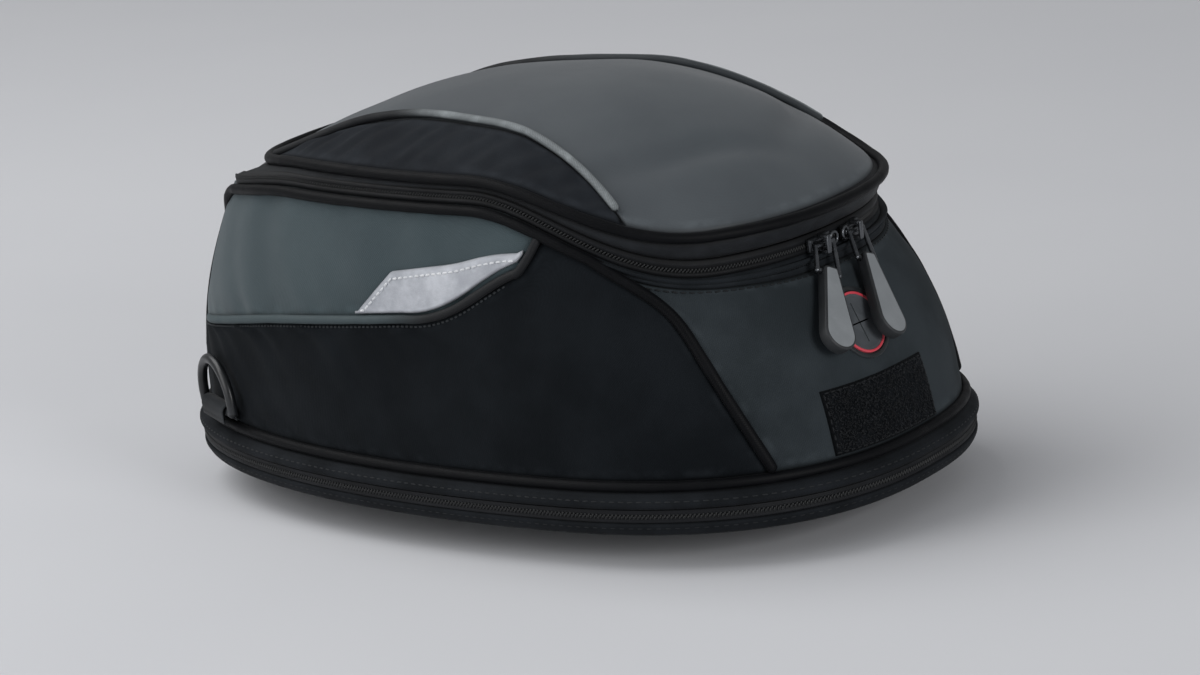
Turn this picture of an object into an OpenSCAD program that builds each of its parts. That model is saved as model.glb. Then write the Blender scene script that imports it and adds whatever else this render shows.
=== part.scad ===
// Expanding motorcycle tank bag: ring mount, stiff base, sewn shell and zipped lid.
// +X points to the rider, -Y to the rider's left, +Z up; the origin is on the ground under the middle.

/* [Outline] */
// Length over the base edge
base_l = 314; // [304:1:324]
// Width over the base edge
base_w = 192; // [184:1:200]
// How far the widest line lies behind the middle
wide_back = 50; // [44:1:56]
// Roundness of the front outline, 2 is an ellipse
front_round = 2.0; // [1.9:0.05:2.3]
// Roundness of the rear outline
rear_round = 2.4; // [2.2:0.05:2.6]
// Step from the base edge in to the foot of the walls
band_in = 4.5; // [3.5:0.5:6]
// Step from the base edge in to the zip at the front
zip_in_front = 32; // [27:1:37]
// Step from the base edge in to the zip at the rear
zip_in_rear = 32; // [28:1:36]
// Step from the base edge in to the zip at the sides
zip_in_side = 14; // [11:1:17]
// How far the widest line of the zip lies behind the middle
zip_wide_back = 45; // [41:1:49]
// Roundness of the zip and lid outline
zip_round = 2.3; // [2.2:0.05:2.4]
// How far the lid edge stands past the zip at the rear
lid_over = 4.5; // [3:0.5:6]
// How far the lid edge stays behind the zip at the front
lid_back = 19; // [14:1:24]
// Outward swell of the walls at half height
wall_swell = 5.5; // [3:0.5:6.5]

/* [Heights] */
// Height of the ring mount under the base
ring_h = 12; // [10:0.5:15]
// Height of the stiff base rim
rim_h = 5; // [4:0.5:7]
// Height of the all-round expansion zip
grow_zip_h = 4.6; // [4:0.2:6]
// Height of the band above the expansion zip
band_h = 5; // [4:0.5:7]
// Height of the zip over the ground at the rear
zip_rear_z = 101; // [96:0.5:105]
// Rise of the zip from the rear to the sides
zip_rise = 28.5; // [22:0.5:32]
// Fall of the zip from the sides to the front
zip_fall = 9; // [5:0.5:12]
// Height of the lid edge over the zip at the rear
lid_rear_gap = 12.5; // [10:0.5:15]
// Height of the lid edge over the zip at the sides
lid_side_gap = 6; // [5:0.5:8]
// Drop of the lid edge towards the front
lid_front_drop = 2; // [0:0.5:2.5]
// Height of the lid crest over the ground
crest_z = 157; // [152:1:162]
// How far the lid crest lies behind the middle
crest_back = 6; // [0:1:12]

/* [Fabric] */
// Thickness of a padded wall panel
panel_t = 3; // [2:0.25:3.5]
// Radius of the seam piping
pipe_r = 2; // [1.6:0.1:2.2]
// Thickness of a zip tape
tape_t = 1.6; // [1.2:0.1:2]
// Half width of the slot between two zip tapes
zip_slot = 0.35; // [0.3:0.05:0.45]
// Thickness of sewn-on patches
patch_t = 1.4; // [1:0.1:2]
// Gap between neighbouring pieces
clear = 0.4; // [0.3:0.05:0.5]

/* [Ring mount] */
// Radius of the socket that drops over the tank ring
socket_r = 41; // [38:0.5:44]
// Outer radius of the ring
ring_r = 58; // [55:0.5:62]
// Depth of the plain socket below the latch
socket_depth = 5; // [4:0.5:6]
// Shank diameter of the ring screws
screw_d = 5; // [4:0.5:6]
// Number of ring screws
screw_count = 4; // [3:1:6]
// Thickness of the base board
board_t = 4; // [3:0.5:5]
// Thickness of the backing plate
plate_t = 2; // [1.5:0.5:3]
// Width of the latch slide
latch_w = 16; // [12:1:20]
// Thickness of the latch slide
latch_t = 4; // [3:0.5:4.5]
// How far the latch nose reaches into the socket
latch_nose = 3; // [2:0.5:4]

/* [Sliders and pulls] */
// Radius of the rear stretch of zip on which the sliders run
run_r = 112; // [108:1:116]
// Sideways place of the left slider at rest
slider_left_y = -15; // [-18:1:-12]
// Sideways place of the right slider at rest
slider_right_y = 5; // [3:1:10]
// Length of a slider along the zip
slider_l = 12; // [10:0.5:13]
// Height of a slider
slider_h = 7; // [6:0.2:8]
// Length of a pull grip
grip_l = 34; // [28:1:40]
// Width of a grip at its foot
grip_w = 13.5; // [11:0.5:15]
// Thickness of a grip
grip_t = 4.6; // [3.5:0.2:5.5]
// Wire diameter of the pull bail
bail_d = 1.8; // [1.5:0.1:2]
// Length of the bail
bail_l = 12; // [10:0.5:14]
// Half width of the bail
bail_half = 5; // [4.6:0.1:5.4]
// Lean of a hanging pull off the vertical
pull_lean = 33; // [32:0.5:38]
// Slant of the left pull towards the left
slant_left = 30; // [22:0.5:32]
// Slant of the right pull towards the left
slant_right = 24; // [16:0.5:28]

/* [Rear fittings] */
// Sideways place of the cable port
port_y = -16; // [-20:1:-10]
// Height of the cable port over the ground
port_z = 73; // [70:0.5:76]
// Outer radius of the cable port flange
port_r = 13.2; // [12.6:0.1:14.5]
// Radius of the slit membrane
port_hole_r = 10.2; // [9.2:0.1:10.6]
// Sideways place of the hook patch
hook_y = -18; // [-22:1:-12]
// Width of the hook patch
hook_w = 56; // [48:1:62]
// Height of the hook patch along the wall
hook_h = 23; // [18:1:25]

/* [D-rings] */
// Wire diameter of a D-ring
ring_wire_d = 3.6; // [3:0.2:4]
// Inner radius of the D-ring arch
ring_arch_r = 13; // [11:0.5:14]
// Plan angle at which the D-rings sit, from the rear
ring_angle = 145; // [142:1:148]

/* [Hidden] */

// Plan outlines as front reach, rear reach, half width, widest line, front and rear roundness
RIM = [base_l / 2 + wide_back, base_l / 2 - wide_back, base_w / 2, wide_back, front_round, rear_round];
FOOT = [RIM[0] - band_in, RIM[1] - band_in, RIM[2] - band_in, wide_back, front_round, rear_round];
ZIP = [base_l / 2 - zip_in_front + zip_wide_back, base_l / 2 - zip_in_rear - zip_wide_back,
    base_w / 2 - zip_in_side, zip_wide_back, zip_round, zip_round];
LID = [ZIP[0] - lid_back, ZIP[1] + lid_over, ZIP[2], zip_wide_back, zip_round, zip_round];

// Levels from the ground up
rim_z = ring_h + clear;
grow_z = rim_z + rim_h + clear;
band_z = grow_z + grow_zip_h + clear;
band_pipe_z = band_z + band_h + clear + pipe_r;
foot_z = band_pipe_z + pipe_r + clear;
tape_drop = 3;
zip_back_x = base_l / 2 - zip_in_rear;
zip_front_x = zip_in_front - base_l / 2;
rise_end = 25;
rise_start = zip_back_x - 15;
fall_start = -60;
drop_start = -30;
drop_end = zip_front_x + 25;
fall_end = zip_front_x - 8;

// Seams on the walls, as plan angles from the rear and as shares of the wall height
rear_seam_foot = 42;
rear_seam_lean = 14;
rear_seam_curl = 22;
rear_seam_power = 14;
front_seam = 160;
seam_gap = 0.5;
yoke_tip = 86;
yoke_turn = 104;
yoke_low = 0.569;
yoke_slope = 0.0033;
yoke_lift = 0.39;
yoke_power = 2.1;
facing_mid = 0.925;
facing_side = 0.955;
join = 0.007;
tape_end = 152;

// Inset panels of the lid, as plan angles and shares of the way from the crest to the edge
inset_rear = 66;
inset_mid = 113;
inset_front = 152;
inset_share = 0.63;
dome_rear = 2.7;
dome_front = 1.8;
inset_rear_lift = 0.24;
inset_tip_lift = 0.1;
inset_front_lift = 0.37;
lid_hem = 2.4;
hem_rise = 1;
dome_t = 3;
inset_gap = 0.014;

wall_cols = 30;
loop_steps = 60;
tube_sides = 8;

function curve(v, p) = sign(v) * pow(abs(v), p);
function smooth(a, b, x) = let (u = min(1, max(0, (x - a) / (b - a)))) u * u * (3 - 2 * u);
function unit(v) = v / norm(v);

// Point of an outline at a plan angle
function egg(o, t) = let (c = cos(t), s = sin(t), n = c > 0 ? o[5] : o[4], l = c > 0 ? o[1] : o[0])
    [o[3] + l * curve(c, 2 / n), o[2] * curve(s, 2 / n)];

// Outward direction of an outline at a plan angle
function egg_out(o, t) = let (c = cos(t), s = sin(t), n = c > 0 ? o[5] : o[4], l = c > 0 ? o[1] : o[0])
    unit([curve(c, 2 - 2 / n) / l, curve(s, 2 - 2 / n) / o[2]]);

function edge(o, t, off) = egg(o, t) + off * egg_out(o, t);
function rise(x) = smooth(rise_start, rise_end, x);
function zip_z(x) = zip_rear_z + zip_rise * rise(x) - zip_fall * smooth(fall_start, fall_end, x);
function lid_gap(x) = lid_rear_gap + (lid_side_gap - lid_rear_gap) * rise(x)
    - lid_front_drop * smooth(drop_start, drop_end, x);
function lid_z(x) = zip_z(x) + lid_gap(x);

// Point of the sewn wall at a plan angle, a share of the height and a distance outwards
function wall(t, s, off) = let (f = egg(FOOT, t), z = egg(ZIP, t), p = f + (z - f) * s,
    q = p + (wall_swell * sin(180 * s) + off) * egg_out(FOOT, t))
    [q.x, q.y, foot_z + (zip_z(z.x) - tape_drop - foot_z) * s];

// Outward direction of the sewn wall
function wall_out(t, s) = let (d = 0.5, u = wall(t + d, s, 0) - wall(t - d, s, 0),
    v = wall(t, s + 0.02, 0) - wall(t, s - 0.02, 0)) unit(cross(u, v));

// Plan angle and height share of the wall point with a given sideways place and height
function wall_angle(y, s, low = -89, high = 89) = let (mid = (low + high) / 2)
    high - low < 0.01 ? mid
        : wall(mid, s, 0).y < y ? wall_angle(y, s, mid, high) : wall_angle(y, s, low, mid);
function wall_share(z) = (z - foot_z) / (zip_rear_z - tape_drop - foot_z);

// Point of the lid dome at a plan angle, a share of the way to the edge and a depth below the top
function dome(t, r, deep) = let (e = edge(LID, t, -lid_hem), top = lid_z(e.x) + hem_rise)
    [crest_back + (e.x - crest_back) * r, e.y * r, crest_z - (crest_z - top) * pow(r, dome_power(t)) - deep];
function dome_power(t) = (dome_rear + dome_front) / 2 + (dome_rear - dome_front) / 2 * cos(t);

function rear_seam(s) = rear_seam_foot + rear_seam_lean * s + rear_seam_curl * pow(s, rear_seam_power);
function yoke_edge(t) = t > yoke_turn ? yoke_low - yoke_slope * (t - yoke_turn)
    : yoke_low + yoke_lift * pow((yoke_turn - t) / (yoke_turn - yoke_tip), yoke_power);
function inset_edge(t) = let (rear = (inset_mid - t) / (inset_mid - inset_rear),
    front = (t - inset_mid) / (inset_front - inset_mid))
    inset_share + (rear > 0 ? inset_rear_lift * pow(rear, 1.8) + inset_tip_lift * pow(rear, 8)
        : inset_front_lift * pow(front, 2.1));
function facing_low(u) = facing_mid + (facing_side - facing_mid) * smooth(0.25, 0.75, abs(u));
function panel_edge(t) = let (a = abs(t)) a > inset_rear && a < inset_front ? min(1, inset_edge(a)) : 1;

// Solid between two grids of points, seen from outside with columns to the right and rows upwards
module quilt(outer, inner) {
    n = len(outer);
    m = len(outer[0]);
    function at(k, i, j) = (k * n + i) * m + j;
    function quad(a, b, c, d) = [[a, b, c], [a, c, d]];
    faces = concat(
        [for (i = [0:n - 2], j = [0:m - 2])
            each quad(at(0, i, j), at(0, i, j + 1), at(0, i + 1, j + 1), at(0, i + 1, j))],
        [for (i = [0:n - 2], j = [0:m - 2])
            each quad(at(1, i, j), at(1, i + 1, j), at(1, i + 1, j + 1), at(1, i, j + 1))],
        [for (i = [0:n - 2]) each quad(at(0, i, 0), at(0, i + 1, 0), at(1, i + 1, 0), at(1, i, 0))],
        [for (i = [0:n - 2])
            each quad(at(0, i + 1, m - 1), at(0, i, m - 1), at(1, i, m - 1), at(1, i + 1, m - 1))],
        [for (j = [0:m - 2]) each quad(at(0, 0, j + 1), at(0, 0, j), at(1, 0, j), at(1, 0, j + 1))],
        [for (j = [0:m - 2])
            each quad(at(0, n - 1, j), at(0, n - 1, j + 1), at(1, n - 1, j + 1), at(1, n - 1, j))]);
    polyhedron([for (row = outer) each row, for (row = inner) each row], faces, convexity = 6);
}

// Solid along a row of cross-sections, closed into a hoop or capped at both ends
module sleeve(rings, hoop) {
    n = len(rings);
    m = len(rings[0]);
    function at(i, j) = (i % n) * m + j % m;
    sides = [for (i = [0:n - (hoop ? 1 : 2)], j = [0:m - 1])
        each [[at(i, j), at(i, j + 1), at(i + 1, j + 1)], [at(i, j), at(i + 1, j + 1), at(i + 1, j)]]];
    caps = [[for (j = [m - 1:-1:0]) at(0, j)], [for (j = [0:m - 1]) at(n - 1, j)]];
    polyhedron([for (ring = rings) each ring], concat(sides, hoop ? [] : caps), convexity = 6);
}

// Hoop around an outline with a cross-section of outward distances and heights
module outline_hoop(o, section) {
    sleeve([for (i = [0:loop_steps - 1]) let (t = 360 * i / loop_steps)
        [for (p = section) let (q = edge(o, t, p[0])) [q.x, q.y, p[1]]]], true);
}

// Round section along a path of points, with the outward direction at each point
function tube_rings(path, outs, r) = let (n = len(path)) [for (i = [0:n - 1])
    let (ahead = unit(path[min(n - 1, i + 1)] - path[max(0, i - 1)]), up = unit(cross(outs[i], ahead)),
        side = cross(ahead, up))
    [for (k = [0:tube_sides - 1]) let (a = 360 * (k + 0.5) / tube_sides)
        path[i] + r * (cos(a) * side + sin(a) * up)]];

module on_right() {
    mirror([0, 1, 0]) children();
}

// Wall strip between two outlines and two heights that follow the zip
module zip_strip(o_low, o_high, from, to, low, high, t_in) {
    steps = 132;
    spans = [for (i = [0:steps]) from + (to - from) * i / steps];
    function level(t, h) = let (x = egg(h ? o_high : o_low, t).x, g = lid_gap(x))
        zip_z(x) + (h ? high[0] + high[1] * g : low[0] + low[1] * g);
    function sag(t) = let (back = max(0, (egg(o_low, t) - egg(o_high, t)) * egg_out(ZIP, t)))
        t_in * back / norm([back, level(t, true) - level(t, false)]);
    function at(t, h, off) = let (p = edge(h ? o_high : o_low, t, off))
        [p.x, p.y, level(t, h) - (h && off < 0 ? sag(t) : 0)];
    quilt([for (t = spans) [at(t, false, 0), at(t, true, 0)]],
        [for (t = spans) [at(t, false, -t_in), at(t, true, -t_in)]]);
}

// Ring mount and base
cut = 1;
screw_turn = 45;
relief_r = socket_r + 2;
screw_circle_r = (relief_r + ring_r) / 2;
tape_in = 0.6;

module base_board() {
    board_in = band_in + panel_t + clear;
    color("#17181a") translate([0, 0, ring_h]) difference() {
        linear_extrude(board_t) polygon([for (i = [0:95]) edge(RIM, 360 * i / 96, -board_in)]);
        screw_holes(board_t);
    }
}

module screw_places() {
    for (i = [0:screw_count - 1])
        rotate(screw_turn + 360 * i / screw_count) translate([screw_circle_r, 0, 0]) children();
}

module screw_holes(deep) {
    screw_places() translate([0, 0, -cut]) cylinder(d = screw_d + clear, h = deep + 2 * cut, $fn = 32);
}

module base_rim() {
    top = rim_z + rim_h;
    tuck = 4;
    lean = 1;
    mid = rim_z + rim_h * 0.45;
    color("#1b1c1e") outline_hoop(RIM, [[-tuck, rim_z], [-lean, mid], [0, top], [-panel_t, top],
        [-panel_t - lean, mid], [-panel_t - tuck, rim_z]]);
}

// Section of a thin upright band with its outer face at a distance outwards
function band_box(out, low, top) = [[out, low], [out, top], [out - tape_t, top], [out - tape_t, low]];

module grow_zip_lower() {
    color("#0d0d0e") outline_hoop(RIM, band_box(-tape_in, grow_z, grow_z + grow_zip_h / 2 - zip_slot));
}

module grow_zip_upper() {
    top = grow_z + grow_zip_h;
    color("#0d0d0e") outline_hoop(RIM, band_box(-tape_in, grow_z + grow_zip_h / 2 + zip_slot, top));
}

module grow_gusset() {
    color("#141516") outline_hoop(RIM, band_box(-tape_in - tape_t - clear, grow_z, grow_z + grow_zip_h));
}

latch_z = socket_depth + 1;
sink_h = screw_d * 0.7;

module ring_adapter() {
    bevel = 1.5;
    color("#202124") difference() {
        rotate_extrude($fn = 96) polygon([[socket_r, 0], [ring_r - bevel, 0], [ring_r, bevel],
            [ring_r, ring_h], [relief_r, ring_h], [relief_r, socket_depth], [socket_r, socket_depth]]);
        translate([0, -latch_w / 2 - clear, latch_z - clear])
            cube([ring_r + cut, latch_w + 2 * clear, latch_t + 2 * clear]);
        screw_holes(ring_h);
        screw_places() translate([0, 0, -cut]) cylinder(d = 2 * screw_d, h = sink_h + cut, $fn = 32);
    }
}

module ring_screws() {
    head_h = screw_d * 0.6;
    hex_d = screw_d * 0.6;
    hex_h = head_h * 0.6;
    color("#8d9093") screw_places() {
        translate([0, 0, sink_h - head_h]) difference() {
            cylinder(d = 1.8 * screw_d, h = head_h, $fn = 32);
            translate([0, 0, -cut]) cylinder(d = hex_d, h = hex_h + cut, $fn = 6);
        }
        translate([0, 0, sink_h]) cylinder(d = screw_d, h = nut_top + cut - sink_h, $fn = 32);
    }
}

nut_low = ring_h + board_t + plate_t;
nut_top = nut_low + screw_d * 0.8;

module backing_plate() {
    plate_rim = 2;
    plate_lip = 5;
    color("#5b5e61") translate([0, 0, ring_h + board_t]) difference() {
        cylinder(r = ring_r + plate_rim, h = plate_t, $fn = 96);
        translate([0, 0, -cut]) cylinder(r = socket_r - plate_lip, h = plate_t + 2 * cut, $fn = 96);
        screw_holes(plate_t);
    }
}

module ring_nuts() {
    color("#9a9da0") screw_places() translate([0, 0, nut_low]) difference() {
        cylinder(d = 1.9 * screw_d, h = nut_top - nut_low, $fn = 6);
        translate([0, 0, -cut]) cylinder(d = screw_d + clear / 2, h = nut_top - nut_low + 2 * cut, $fn = 32);
    }
}

latch_tail = 7;
tab_t_web = 1.6;

latch_eye = 3;

module latch_slide() {
    color("#b3271f") translate([0, 0, latch_z]) difference() {
        translate([socket_r - latch_nose, -latch_w / 2, 0])
            cube([ring_r - socket_r + latch_nose + latch_tail, latch_w, latch_t]);
        translate([ring_r + latch_eye, latch_eye - latch_w / 2, -cut])
            cube([latch_tail - 2 * latch_eye + tab_t_web, latch_w - 2 * latch_eye, latch_t + 2 * cut]);
    }
}

module latch_pull_tab() {
    short = 22;
    reach = base_l / 2 - ring_r - latch_tail - short;
    web_w = latch_w - 4;
    color("#2a2b2d") translate([ring_r + latch_tail + clear, -web_w / 2, latch_z + (latch_t - tab_t_web) / 2])
        cube([reach, web_w, tab_t_web]);
}

// Expansion zip slider on the right front flank, with x along the zip and y outwards
grow_angle = 125;
grow_skin = 1.6;
grow_pin = 2.9;
grow_bridge = 4.2;
bridge_t = 1.2;
bridge_w = 3;

module on_flank() {
    p = edge(RIM, grow_angle, clear);
    n = egg_out(RIM, grow_angle);
    translate([p.x, p.y, grow_z + grow_zip_h / 2]) rotate([0, 0, atan2(n.y, n.x) - 90]) children();
}

module grow_slider() {
    color("#6e7073") on_flank() {
        translate([-slider_l / 2, 0, -slider_h / 2]) cube([slider_l, grow_skin, slider_h]);
        for (side = [-1, 1]) translate([-bridge_w / 2, grow_skin, side * (slider_h - post) / 2 - post / 2])
            cube([bridge_w, grow_bridge - grow_skin, post]);
        translate([-bridge_w / 2, grow_bridge, -slider_h / 2]) cube([bridge_w, bridge_t, slider_h]);
    }
}

module grow_pull() {
    half = 4.5;
    drop = 6;
    tag_l = 4;
    width = 2 * half + bail_d;
    color("#3a3b3d") on_flank() translate([0, grow_pin, 0]) {
        rotate([0, 90, 0]) cylinder(d = bail_d, h = 2 * half, center = true, $fn = 24);
        for (side = [-1, 1]) translate([side * half - bail_d / 2, -bail_d / 2, -drop])
            cube([bail_d, bail_d, drop + bail_d / 2]);
        translate([-width / 2, -bail_d / 2, -drop - tag_l]) cube([width, bail_d, tag_l]);
    }
}

// Sewn shell
pipe_out = 1 - band_in;

module upper_band() {
    top = band_z + band_h;
    knee = band_z + band_h * 0.65;
    lean = 1.2;
    color("#1d1e20") outline_hoop(RIM, [[0, band_z], [0, band_z + band_h * 0.4], [-lean, knee],
        [pipe_out, top], [pipe_out - panel_t, top], [-panel_t - lean, knee], [-panel_t, band_z]]);
}

module band_piping() {
    color("#111214") outline_hoop(RIM, [for (k = [0:tube_sides - 1]) let (a = 360 * (k + 0.5) / tube_sides)
        [pipe_out + pipe_r * cos(a), band_pipe_z + pipe_r * sin(a)]]);
}

// Wall patch over a range of plan angles, with its lower and upper edge as functions of the angle
module wall_patch(from, to, low, high, off, t_in, cols, rows) {
    function grid(d) = [for (i = [0:cols]) let (t = from + (to - from) * i / cols)
        [for (j = [0:rows]) wall(t, low(t) + (high(t) - low(t)) * j / rows, d)]];
    quilt(grid(off), grid(off - t_in));
}

module front_panel() {
    color("#1a1b1d") wall_patch(front_seam + seam_gap, 360 - front_seam - seam_gap,
        function (t) 0, function (t) 1, 0, panel_t, 10, 5);
}

module side_panel() {
    rows = 8;
    function top(t) = t > yoke_tip ? min(1, yoke_edge(t) - join) : 1;
    function grid(d) = [for (i = [0:wall_cols]) [for (j = [0:rows])
        let (s = j / rows, start = rear_seam(s) + seam_gap, u = i / wall_cols,
            t = start + (front_seam - seam_gap - start) * u) wall(t, s * top(t), d)]];
    quilt(grid(0), grid(-panel_t));
}

module side_panel_right() {
    color("#191a1c") side_panel();
}

module side_panel_left() {
    on_right() side_panel_right();
}

module side_yoke_right() {
    blunt = 1.5;
    color("#465254") wall_patch(yoke_tip + blunt, front_seam - seam_gap, function (t) yoke_edge(t) + join,
        function (t) 1, 0, panel_t, 24, 4);
}

module side_yoke_left() {
    on_right() side_yoke_right();
}

pipe_short = 2;
thin_pipe_r = pipe_r * 0.8;

module pocket_piping_right() {
    first = yoke_tip + 0.7;
    turn = [for (i = [0:8]) first + (yoke_turn - first) * i / 8];
    run = [for (i = [1:9]) yoke_turn + (front_seam - pipe_short - yoke_turn) * i / 9];
    angles = concat(turn, run);
    r = thin_pipe_r;
    color("#5d686a") sleeve(tube_rings([for (t = angles) wall(t, yoke_edge(t), r + clear)],
        [for (t = angles) wall_out(t, yoke_edge(t))], r), false);
}

module pocket_piping_left() {
    on_right() pocket_piping_right();
}

// Reflective patch: a blunt nose to the front and a gently rising top edge to the rear
patch_rear = 90;
patch_front = 111.4;
patch_turn = 105.5;
patch_lift = 0.025;
patch_climb = 0.016;
patch_least = 0.01;
patch_nose = 0.566;
patch_nose_slope = 0.0302;
patch_top = 0.746;
patch_top_slope = 0.0087;

function patch_low(t) = yoke_edge(t) + patch_lift + patch_climb * smooth(yoke_turn, patch_rear, t);
function patch_high(t) = max(patch_low(t) + patch_least,
    min(patch_nose + patch_nose_slope * (patch_front - t), patch_top + patch_top_slope * (patch_turn - t)));

module reflective_patch_right() {
    color("#a4a7ac") wall_patch(patch_rear, patch_front, function (t) patch_low(t),
        function (t) patch_high(t), patch_t + clear, patch_t, 12, 3);
}

module reflective_patch_left() {
    on_right() reflective_patch_right();
}

module seam_piping_right() {
    off = pipe_r + clear;
    start = 0.045;
    top = 0.985;
    end = front_seam - 4 * pipe_short;
    first = [for (j = [0:12]) let (s = start + (top - start) * j / 12) [rear_seam(s), s]];
    last = [for (i = [1:14]) [rear_seam(top) + (end - rear_seam(top)) * i / 14, top]];
    line = concat(first, last);
    color("#131416") sleeve(tube_rings([for (p = line) wall(p[0], p[1], off)],
        [for (p = line) wall_out(p[0], p[1])], pipe_r), false);
}

module seam_piping_left() {
    on_right() seam_piping_right();
}

// Frame on the rear wall: x along the outward normal, z up along the wall
module on_wall(t, s, off) {
    p = wall(t, s, off);
    n = wall_out(t, s);
    translate(p) rotate([0, 0, atan2(n.y, n.x)]) rotate([0, -asin(n.z), 0]) children();
}

port_share = wall_share(port_z);
port_angle = wall_angle(port_y, port_share);

module rear_panel() {
    rows = 8;
    cols = 22;
    function grid(d) = [for (i = [0:cols]) [for (j = [0:rows])
        let (u = 2 * i / cols - 1, s = facing_low(u) * j / rows) wall(u * (rear_seam(s) - seam_gap), s, d)]];
    color("#242628") difference() {
        quilt(grid(0), grid(-panel_t));
        on_wall(port_angle, port_share, 0) rotate([0, 90, 0])
            cylinder(r = port_hole_r, h = 8 * panel_t, center = true, $fn = 48);
    }
}

module zip_facing() {
    cols = 22;
    rows = 2;
    function grid(d) = [for (i = [0:cols]) [for (j = [0:rows])
        let (u = 2 * i / cols - 1, low = facing_low(u) + join, s = low + (1 - low) * j / rows)
        wall(u * (rear_seam(s) - seam_gap), s, d)]];
    color("#1b1d1f") quilt(grid(0), grid(-panel_t));
}

module zip_tape_lower() {
    color("#0e0f10") zip_strip(ZIP, ZIP, -tape_end, tape_end, [clear - tape_drop, 0], [-zip_slot, 0], tape_t);
}

port_ring_w = 0.9;
port_ring_r = port_hole_r + clear;

module port_flange() {
    flange_t = 0.9;
    inner = port_ring_r + port_ring_w + clear;
    color("#0f1011") on_wall(port_angle, port_share, clear) rotate([0, 90, 0]) rotate_extrude($fn = 64)
        translate([inner, 0]) square([port_r + clear - inner, flange_t]);
}

module port_ring() {
    port_ring_h = 1.1;
    color("#c73a44") on_wall(port_angle, port_share, clear) rotate([0, 90, 0]) rotate_extrude($fn = 64)
        translate([port_ring_r, 0]) square([port_ring_w, port_ring_h]);
}

module port_membrane() {
    slit = 0.6;
    slit_l = port_hole_r * 1.7;
    skin = 0.8;
    color("#141516") on_wall(port_angle, port_share, clear) rotate([0, 90, 0]) difference() {
        cylinder(r = port_hole_r, h = skin, $fn = 64);
        for (a = [0, 90]) rotate(a) translate([-slit / 2, -slit_l / 2, -cut])
            cube([slit, slit_l, skin + 2 * cut]);
    }
}

module hook_patch() {
    low = 0.006;
    mid = low + hook_h / 2 / (zip_rear_z - tape_drop - foot_z);
    first = wall_angle(hook_y - hook_w / 2, mid);
    last = wall_angle(hook_y + hook_w / 2, mid);
    color("#101112") wall_patch(first, last, function (t) low, function (t) 2 * mid - low,
        patch_t + clear, patch_t, 10, 3);
}

// D-rings on webbing tabs at the front corners
ring_share = 0.05;
tab_w = 2 * ring_arch_r - 3;
tab_t = ring_wire_d + 2.6;
pin_clear = 0.3;

module ring_frame() {
    on_wall(ring_angle, ring_share, tab_t / 2 + clear) children();
}

module ring_tab_right() {
    drop = 4;
    color("#151617") ring_frame() difference() {
        union() {
            translate([-tab_t / 2, -tab_w / 2, -drop]) cube([tab_t, tab_w, drop]);
            rotate([90, 0, 0]) cylinder(d = tab_t, h = tab_w, center = true, $fn = 32);
        }
        rotate([90, 0, 0])
            cylinder(d = ring_wire_d + 2 * pin_clear, h = tab_w + 2 * cut, center = true, $fn = 32);
    }
}

module ring_tab_left() {
    on_right() ring_tab_right();
}

module d_ring_right() {
    mid_r = ring_arch_r + ring_wire_d / 2;
    leg = 3.5;
    color("#2b2d2f") ring_frame() {
        rotate([90, 0, 0]) cylinder(d = ring_wire_d, h = 2 * mid_r, center = true, $fn = 32);
        for (side = [-1, 1]) translate([0, side * mid_r, 0]) {
            sphere(d = ring_wire_d, $fn = 32);
            cylinder(d = ring_wire_d, h = leg, $fn = 32);
        }
        translate([0, 0, leg]) rotate([0, -90, 0]) rotate([0, 0, -90]) rotate_extrude(angle = 180, $fn = 64)
            translate([mid_r, 0]) circle(d = ring_wire_d, $fn = 32);
    }
}

module d_ring_left() {
    on_right() d_ring_right();
}

// Lid
module dome_patch(from, to, low, high, cols, rows, deep, t_in) {
    function grid(d) = [for (i = [0:cols]) let (t = from + (to - from) * i / cols)
        [for (j = [0:rows]) dome(t, high(t) + (low(t) - high(t)) * j / rows, d)]];
    quilt(grid(deep), grid(deep + t_in));
}

// Closed dome around the crest, out to a share of the way to the edge
module dome_shell(high, steps, rows, deep, t_in) {
    count = 1 + rows * steps;
    function at(k, row, i) = k * count + 1 + (row - 1) * steps + i % steps;
    function skin(d) = concat([dome(0, 0, d)], [for (row = [1:rows], i = [0:steps - 1])
        let (t = 360 * i / steps) dome(t, high(t) * row / rows, d)]);
    function quad(a, b, c, d) = [[a, b, c], [a, c, d]];
    faces = concat(
        [for (i = [0:steps - 1]) [0, at(0, 1, i + 1), at(0, 1, i)]],
        [for (i = [0:steps - 1]) [count, at(1, 1, i), at(1, 1, i + 1)]],
        [for (row = [1:rows - 1], i = [0:steps - 1])
            each quad(at(0, row, i), at(0, row, i + 1), at(0, row + 1, i + 1), at(0, row + 1, i))],
        [for (row = [1:rows - 1], i = [0:steps - 1])
            each quad(at(1, row, i), at(1, row + 1, i), at(1, row + 1, i + 1), at(1, row, i + 1))],
        [for (i = [0:steps - 1])
            each quad(at(0, rows, i), at(0, rows, i + 1), at(1, rows, i + 1), at(1, rows, i))]);
    polyhedron(concat(skin(deep), skin(deep + t_in)), faces, convexity = 6);
}

module lid_panel() {
    color("#505557") dome_shell(function (t) panel_edge(t > 180 ? t - 360 : t) - inset_gap * inset_side(t),
        80, 5, 0, dome_t);
}

function inset_side(t) = let (a = t > 180 ? 360 - t : t) a > inset_rear && a < inset_front ? 1 : 0;

module lid_inset_right() {
    blunt = 3.5;
    most = 0.985;
    color("#17181b") dome_patch(inset_rear + blunt, inset_front - blunt,
        function (t) min(most, inset_edge(t) + inset_gap), function (t) 1, 16, 3, 0, dome_t);
}

module lid_inset_left() {
    on_right() lid_inset_right();
}

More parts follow.
